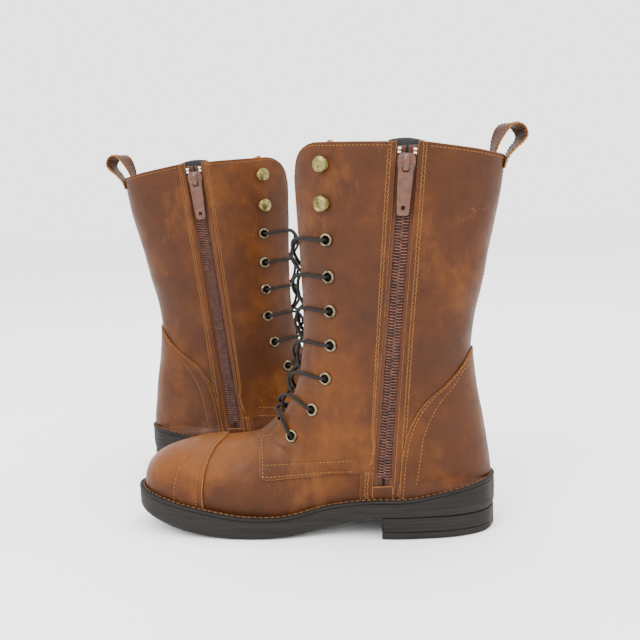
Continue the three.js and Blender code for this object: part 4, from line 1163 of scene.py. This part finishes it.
# ---- fasteners -----------------------------------------------------------------------------------
def fasteners(boot):
    """Eyelets and speed hooks, turned on the leather's normals."""
    ring = [(2.85, 1.0), (3.1, 1.42), (3.6, 1.6), (4.2, 1.42), (4.62, 0.95), (4.68, 0.4), (4.5, 0.05),
            (3.35, -0.1), (3.35, -2.0), (4.3, -2.1), (4.3, -2.5), (2.85, -2.5), (2.85, 1.0)]
    head = [(1.3, -1.7), (1.3, 0.0), (4.6, 0.1), (4.7, 0.6), (4.3, 0.95), (2.4, 1.2), (2.3, 2.7),
            (4.6, 2.9), (5.45, 3.3), (5.6, 3.8), (5.3, 4.4), (4.3, 5.1), (2.6, 5.55)]
    for side, word in ((1, "medial"), (-1, "lateral")):
        seats, count = SEATS[side], len(EYELETS)
        rings = [lathe(ring, skin(side, t, s), normal(side, t, s), 32) for t, s in seats[:count]]
        piece(boot, f"eyelets_{word}", *join(rings), [MATS["eyelet"]], replaces=[f"eyelet_row_{word}"],
              slot="brass")
        for (t, s), level in zip(seats[count:], ("upper", "lower")):
            name = f"hook_{level}_{word}"
            pts, faces = lathe(head, skin(side, t, s), normal(side, t, s), 32)
            piece(boot, name, pts, faces, [MATS["brass"]], replaces=[name], slot="brass")


def edge_point(side, t, v, depth):
    """A point near the facing edge, v from the middle of the throat."""
    s = facing(side, np.array([t]))[0, 1] * v / THROAT
    return deep(side, t, s, depth)


def lace(boot):
    """Bar across the lowest pair, then both ends climb and cross, and end inside the boot."""
    last = len(EYELETS) - 1

    def seat(side, row, depth, forward=0.0):
        t, s = SEATS[side][row]
        p = deep(side, t, s, depth)
        edge = edge_point(side, EDGE_AT[row], THROAT, depth)
        return p + unit(edge - p) * forward

    def over(side, row):
        return [edge_point(side, EDGE_AT[row], THROAT + 0.8, -2.9), seat(side, row, -2.9, 4.6),
                seat(side, row, -1.2, 1.3)]

    def climb(start):
        out, side = [], start
        for row in range(last, 0, -1):
            t = (EDGE_AT[row] + EDGE_AT[row - 1]) / 2
            out += [seat(side, row, 3.6, 0.2), seat(side, row, 4.7, 3.5),
                    edge_point(side, EDGE_AT[row], THROAT - 1.5, 4.3),
                    deep(1, t, 0.0, -1.6 if start > 0 else -4.6), *over(-side, row - 1)]
            side = -side
        return out + [seat(side, 0, 3.6), seat(side, 0, 5.2) + [-2, 0, -3], seat(side, 0, 6) + [-6, 0, -10]]

    bar = over(1, last)[::-1] + [deep(1, EDGE_AT[last], 0.0, -2.4)] + over(-1, last)
    route = smooth_path(climb(1)[::-1] + bar + climb(-1), 8)
    pts, faces, uv = tube(route, LACE / 2, 10)
    piece(boot, "lace", pts, faces, [MATS["lace"]], replaces=["lace"], slot="lace", uv=uv)


# ---- zip -----------------------------------------------------------------------------------------
ALONG = unit(ZIP_FOOT - ZIP_TOP)
OUT = unit(np.array([0, 1, 0]) - ALONG * ALONG[1])
ACROSS = np.cross(OUT, ALONG)
ZIP_LENGTH = float(np.linalg.norm(ZIP_FOOT - ZIP_TOP))
CHAIN = -2.7                 # the coils' middle below the leather's face


def zip_space(points):
    """From (across, out, along) in the zip's frame."""
    p = np.asarray(points, float)
    return ZIP_TOP + p[..., :1] * ACROSS + p[..., 1:2] * OUT + p[..., 2:] * ALONG


def rounded(outline, radius, n=4):
    """An outline with its corners rounded."""
    p = np.asarray(outline, float)
    out = []
    for a, b, c in zip(np.roll(p, 1, 0), p, np.roll(p, -1, 0)):
        d0, d1 = unit(a - b), unit(c - b)
        r = min(radius, 0.45 * np.linalg.norm(a - b), 0.45 * np.linalg.norm(c - b))
        f = np.linspace(0, 1, n + 1)[:, None]
        out.append((1 - f) ** 2 * (b + d0 * r) + 2 * f * (1 - f) * b + f ** 2 * (b + d1 * r))
    return np.concatenate(out)


def slab(outline, z0, z1, soft=0.25):
    """A plate with softened edges: (x, y) outline between two heights."""
    p = np.asarray(outline, float)
    d = unit(np.roll(p, -1, 0) - np.roll(p, 1, 0))
    turn = np.sign(np.sum(p[:, 0] * np.roll(p[:, 1], -1) - p[:, 1] * np.roll(p[:, 0], -1)))
    n = np.stack([d[:, 1], -d[:, 0]], -1) * turn
    levels = [(soft, z0), (0.3 * soft, z0 + 0.3 * soft), (0, z0 + soft), (0, z1 - soft),
              (0.3 * soft, z1 - 0.3 * soft), (soft, z1)]
    pts = np.concatenate([np.concatenate([p - n * i, np.full((len(p), 1), z)], 1) for i, z in levels])
    return pts, wall(np.arange(len(pts)).reshape(len(levels), -1))


def flat(points):
    """Plate points (across, along, out) in the boot's frame."""
    return zip_space(np.asarray(points)[:, [0, 2, 1]])


def coil(boot):
    """Two rows of wire loops, half a pitch apart."""
    pitch, n, m = COIL["pitch"], 14, 5
    a = np.arange(n) * 2 * math.pi / n
    b = np.arange(m) * 2 * math.pi / m
    for side, name in ((-1, "zip_coil_front"), (1, "zip_coil_rear")):
        parts = []
        for i in range(int((ZIP_LENGTH - 2 * COIL["start"]) / pitch)):
            d = COIL["start"] + (i + (0.5 if side > 0 else 0)) * pitch
            centre = np.stack([side * (COIL["middle"] + COIL["wide"] * np.cos(a)),
                               CHAIN + COIL["high"] * np.sin(a), d + COIL["lead"] * np.sin(a)], -1)
            away = np.stack([side * np.cos(a), np.sin(a), 0 * a], -1)
            ring = np.cos(b)[:, None] * away[:, None] + np.sin(b)[:, None] * np.array([0, 0, 1.0])
            pts = centre[:, None] + COIL["wire"] * ring
            k = np.arange(n * m).reshape(n, m)
            e = np.roll(k, -1, axis=0)
            faces = np.stack([k, e, np.roll(e, -1, axis=1), np.roll(k, -1, axis=1)], -1).reshape(-1, 4)
            parts.append((zip_space(pts.reshape(-1, 3)), faces))
        piece(boot, name, *join(parts), [MATS["coil"]], replaces=[name], slot="zip_coil")


def tapes(boot):
    """The two tapes beside the coils, and the guard flap behind them."""
    for side, name in ((-1, "zip_tape_rear"), (1, "zip_tape_front")):
        w = np.linspace(268.5, 34.5, 90)
        cols = np.array([1.0, 2.4, 3.8, 4.4, 5.0, 7.5, 10, 14.5])
        sunk = np.array([4.15, 4.15, 4.1, 3.1, 2.3, 2.1, 2.1, 2.1])
        u = zip_at(w)[:, :1] + side * cols
        t, s = (x.reshape(u.shape) for x in locate(1, u.ravel(), np.repeat(w, len(cols)), skin))
        pts, faces, _ = shell([(deep(1, t, s, sunk), deep(1, t, s, sunk + 0.6), side)])
        piece(boot, name, pts, faces, [MATS["tape"]], replaces=[name], slot="zip_tape")
    x, d = np.linspace(-13, 12.5, 22)[None, :], np.linspace(-7.5, ZIP_LENGTH - 36, 110)[:, None]
    rise = 2.0 * np.clip((np.abs(x) / 13) ** 4, 0, 1) + 0 * d
    top = d + 2.2 * (x / 13) ** 2 * (1 - np.clip((d + 7.5) / 12, 0, 1))
    layers = [zip_space(np.stack(np.broadcast_arrays(x, -7.6 + rise - k + 0.2 * np.sin(d / 9), top), -1))
              for k in (0, 1.1)]
    pts, faces, _ = shell([(*layers, 1)])
    piece(boot, "zip_guard", pts, faces, [MATS["lining"]], replaces=["zip_guard"], slot="lining")


def slider(boot):
    """The slider's two plates, neck and bail, and the stops above it."""
    body = f"{boot}_zip_slider"
    shield = rounded([(-3.4, 2.6), (3.4, 2.6), (5.9, 4.6), (6.0, 9), (4.9, 16), (-4.9, 16), (-6.0, 9),
                      (-5.9, 4.6)], 1.6)
    plates = []
    for z0, z1 in ((-1.1, 0.45), (-5.3, -4.3)):
        pts, faces = slab(shield, z0, z1, 0.4)
        plates.append((flat(pts), faces))
    neck, faces = slab([(-0.5, 2.8), (0.5, 2.8), (0.5, 6), (-0.5, 6)], -4.6, -0.8, 0.1)
    plates.append((flat(neck), faces))
    arch = smooth_path([(0, -0.2, 4.0), (0, 2.4, 4.1), (0, 3.9, 5.6), (0, 4.25, 9), (0, 4.0, 12.4),
                        (0, 2.7, 13.8), (0, -0.2, 13.9)], 6)
    pts, faces, _ = tube(arch, 0.75, 12)
    plates.append((zip_space(pts * [2.6, 1, 1]), faces))
    piece(boot, "zip_slider", *join(plates), [MATS["enamel"]], body=body, replaces=["zip_slider"],
          slot="zip_metal")
    stops = []
    pts, faces = slab(rounded([(-1.2, -0.8), (1.2, -0.8), (1.2, 0.8), (-1.2, 0.8)], 0.4, 3), -2.4, -0.6, 0.3)
    for k in (-1, 1):
        for d in (-0.2, 2.3):
            stops.append((flat(pts + [k * 5.2, d, 0.0]), faces))
    piece(boot, "zip_top_stops", *join(stops), [MATS["silver"]], slot="zip_metal")


def puller(boot):
    """The hanging tab, with two holes through it and a plain recess."""
    head = 10.2
    outline = rounded([(-4.6, head), (4.6, head), (5.0, head + 2), (5.0, head + 7), (4.1, head + 31),
                       (3.3, head + 33), (-3.3, head + 33), (-4.1, head + 31), (-5.0, head + 7),
                       (-5.0, head + 2)], 1.4)
    pts, faces = slab(outline, 0.8, 2.6, 0.35)
    obj = piece(boot, "zip_pull", flat(pts), faces, [MATS["enamel"]], body=f"{boot}_zip_pull",
                replaces=["zip_pull"], slot="zip_metal")
    tools = []
    for wide_0, wide_1, d0, d1, z0 in ((2.2, 2.2, 1.5, 4.8, -1), (1.3, 1.3, 26.6, 29.4, -1),
                                       (3.4, 2.9, 8.6, 24.8, 2.15)):
        shape = [(-wide_0, head + d0), (wide_0, head + d0), (wide_1, head + d1), (-wide_1, head + d1)]
        pts, faces = slab(rounded(shape, 0.6, 3), z0, 4.0, 0.02)
        tools.append((flat(pts), faces))
    cut(boot, obj, tools)
    bevel = obj.modifiers.new("softened", "BEVEL")
    bevel.width, bevel.segments = 0.00018, 2
    bevel.limit_method, bevel.angle_limit = "ANGLE", math.radians(50)


# ---- sole ----------------------------------------------------------------------------------------
def foot_ring(n=280):
    """Points of the foot line all round, heel first by the medial side, and their outward directions."""
    t = HEEL + (TOE - HEEL) * np.linspace(0, 1, 700) ** 1.3
    a, b = skin(1, t, 1.0), skin(-1, t, 1.0)
    p = np.concatenate([a, b[::-1][1:]])
    run = distances(p)
    x = np.arange(n) * run[-1] / n
    p = np.stack([np.interp(x, run, p[:, k]) for k in range(3)], -1)
    for _ in range(6):
        p = 0.5 * p + 0.25 * (np.roll(p, 1, 0) + np.roll(p, -1, 0))
    d = unit((np.roll(p, -1, 0) - np.roll(p, 1, 0)) * [1, 1, 0])
    out = np.stack([d[:, 1], -d[:, 0], 0 * d[:, 0]], -1)
    return p, out if np.dot(out[n // 2], [1, 0, 0]) > 0 else -out


FOOT, FOOT_OUT = foot_ring()


def loft(rings, caps=True):
    """Faces over closed rings of one size, with ladders across the foot as caps, or as a closed loop."""
    n = len(rings[0])
    pts = np.concatenate(rings)
    k = np.arange(len(pts)).reshape(len(rings), n)
    if not caps:
        nxt = np.roll(k, -1, axis=1)
        return pts, np.stack([k, nxt, *(np.roll(x, -1, axis=0) for x in (nxt, k))], -1).reshape(-1, 4)
    faces = wall(k, False)
    for row, turn in ((k[0], 1), (k[-1], -1)):
        for i in range(n // 2):
            f = [row[i], row[(i + 1) % n], row[(n - i - 1) % n], row[(n - i) % n]]
            faces.append(tidy([int(x) for x in f])[::-turn])
    return pts, faces


def ring_at(offset, w):
    """The foot line moved outwards and set at a height."""
    p = FOOT + FOOT_OUT * np.broadcast_to(np.asarray(offset, float), (len(FOOT),))[:, None]
    p[:, 2] = w
    return p


def ground(u):
    """Height of the sole's underside."""
    g = smooth_path([(a, 0, b) for a, b in GROUND[::-1]], 8)
    return np.interp(u, g[:, 0], g[:, 2])


def sole(boot):
    """Welt with its stitches, outsole, heel block and top piece."""
    top = FOOT[:, 2] + 2.0
    heel = np.clip((74 - FOOT[:, 0]) / 8, 0, 1)
    inner = 0.5 + 2.2 * heel
    profile = [(inner, 0.0), (3.9, 0.05), (4.55, -0.1), (4.95, -0.5), (5.05, -1.1), (4.9, -1.75),
               (4.5, -2.15), (inner, -2.2)]
    rings = [ring_at(o, top + z) for o, z in profile]
    piece(boot, "welt", *loft(rings, caps=False), [MATS["welt"]], replaces=["welt"], slot="welt")

    line = ring_at(1.75 + 1.0 * heel, top + 0.15)
    line = np.concatenate([line, line[:1]])
    up = np.broadcast_to([0.0, 0.0, 1.0], line.shape)
    pts, faces = thread(line, up, 4.1, 3.3, 0.0, 0.12, 0.5)
    piece(boot, "welt_stitching", pts, faces, [MATS["welt_thread"]])

    ceiling = top - WELT - 0.12
    floor = np.where(FOOT[:, 0] < BREAST + 2, HEEL_SEAT, ground(FOOT[:, 0] + FOOT_OUT[:, 0] * 3))
    rings = [ring_at(o - 0.25 * heel * f, ceiling + (floor - ceiling) * f) for f, o in SOLE_WIDTHS]
    rings += [ring_at(inset, floor) for inset in (-3.0, -9.0)]
    piece(boot, "outsole", *loft(rings), [MATS["rubber"]], replaces=["outsole"], slot="sole_rubber")

    def heel_outline(margin, breast):
        """The foot line behind the breast, closed by a shallow arc."""
        part = [i for i in np.roll(np.arange(len(FOOT)), len(FOOT) // 2) if FOOT[i, 0] < BREAST - 2]
        p = (FOOT + FOOT_OUT * margin)[part][:, :2]
        ends = p[-1], p[0]
        f = np.linspace(0, 1, 14)[1:-1, None]
        arc = ends[0] * (1 - f) + ends[1] * f
        arc[:, 0] = breast - 5 * 4 * (f * (1 - f))[:, 0]
        return np.concatenate([p, [[breast, ends[0][1]]], arc, [[breast, ends[1][1]]]])

    def stack(name, levels):
        pts = []
        for margin, breast, z in levels:
            outline = heel_outline(margin, breast)
            pts.append(np.column_stack([outline, np.full(len(outline), z)]))
        pts = np.concatenate(pts)
        faces = wall(np.arange(len(pts)).reshape(len(levels), -1))
        piece(boot, name, pts, faces, [MATS["rubber"]], replaces=[name], slot="sole_rubber")

    z = np.linspace(HEEL_SEAT - 0.15, TOP_PIECE + 0.2, 5)
    levels = [(3.4, BREAST - 0.6, z[0])]
    for a, b in zip(z[:-1], z[1:]):
        levels += [(3.95, BREAST, a - 0.25), (4.0, BREAST, b + 0.25), (3.75, BREAST - 0.3, b)]
    levels[-1] = (3.5, BREAST - 0.6, z[-1])
    stack("heel_block", levels)
    stack("heel_top_piece", [(3.4, BREAST - 0.6, TOP_PIECE), (4.0, BREAST, TOP_PIECE - 0.5),
                             (4.0, BREAST, 1.0), (3.6, BREAST - 0.3, 0.3), (2.9, BREAST - 1, 0.0)])


# ---- the pair, the camera and the studio ---------------------------------------------------------
def camera():
    """The photograph's view, with its slight roll."""
    data = bpy.data.cameras.new("camera")
    data.sensor_width, data.lens = 36, 50.87
    cam = added("camera", data)
    pitch, roll = math.radians(7.585), math.radians(-2.383)
    ahead = np.array([0, math.cos(pitch), -math.sin(pitch)])
    level, upright = np.array([1.0, 0, 0]), np.array([0, math.sin(pitch), math.cos(pitch)])
    right = math.cos(roll) * level + math.sin(roll) * upright
    up = -math.sin(roll) * level + math.cos(roll) * upright
    m = Matrix.Identity(4)
    for i, axis in enumerate((right, up, -ahead)):
        for j in range(3):
            m[j][i] = axis[j]
    m.translation = (0.0183, -0.73207, 0.23568)
    cam.matrix_world = m
    bpy.context.scene.camera = cam


LIT = (0, 0, 0.13)           # the point that the lamps face


def studio():
    """A pale round floor, a white world and three area lamps."""
    n, reach = 48, 6.0
    a = np.arange(n) * 2 * math.pi / n
    mesh = bpy.data.meshes.new("floor")
    mesh.from_pydata([(reach * math.cos(x), reach * math.sin(x), -0.0002) for x in a], [], [list(range(n))])
    sh = Shader("pale_floor", Roughness=0.9, Specular_IOR_Level=0.1)
    mesh.materials.append(sh.finish(Base_Color=sh.ramp(sh.noise(3), (0.2, 0.93), (0.8, 0.96))))
    added("floor", mesh)
    world = bpy.data.worlds.new("studio")
    world.use_nodes = True
    sky = world.node_tree.nodes["Background"].inputs
    sky["Color"].default_value, sky["Strength"].default_value = (1, 1, 1, 1), 2.7
    bpy.context.scene.world = world
    for name, at, size, power in (("key", (-0.9, -1.3, 1.5), 1.1, 34), ("fill", (1.3, -1.2, 0.9), 1.2, 8),
                                  ("top", (0.1, 0.3, 1.9), 1.6, 30)):
        light = bpy.data.lights.new(name, "AREA")
        light.energy, light.size = power, size
        lamp = added(name, light)
        z = unit(np.array(at) - LIT)
        x = unit(np.cross([0, 0, 1.0], z) if abs(z[2]) < 0.98 else np.array([1.0, 0, 0]))
        y = np.cross(z, x)
        lamp.matrix_world = Matrix([[x[i], y[i], z[i], at[i]] for i in range(3)] + [[0, 0, 0, 1]])


def boot(name, seed):
    upper(name, seed)
    sewing(name, seed)
    linings(name, seed)
    tongue(name, seed)
    pull_tab(name)
    fasteners(name)
    lace(name)
    tapes(name)
    coil(name)
    slider(name)
    puller(name)
    sole(name)
    for node, mat in (("insole_board", "board"), ("footbed", "footbed")):
        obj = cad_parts[f"{name}_{node}"]
        for slot in obj.material_slots:
            slot.material = MATS[mat]


camera()
boot("right", SOURCE_NOISE)
boot("left", SOURCE_NOISE + 7)
studio()
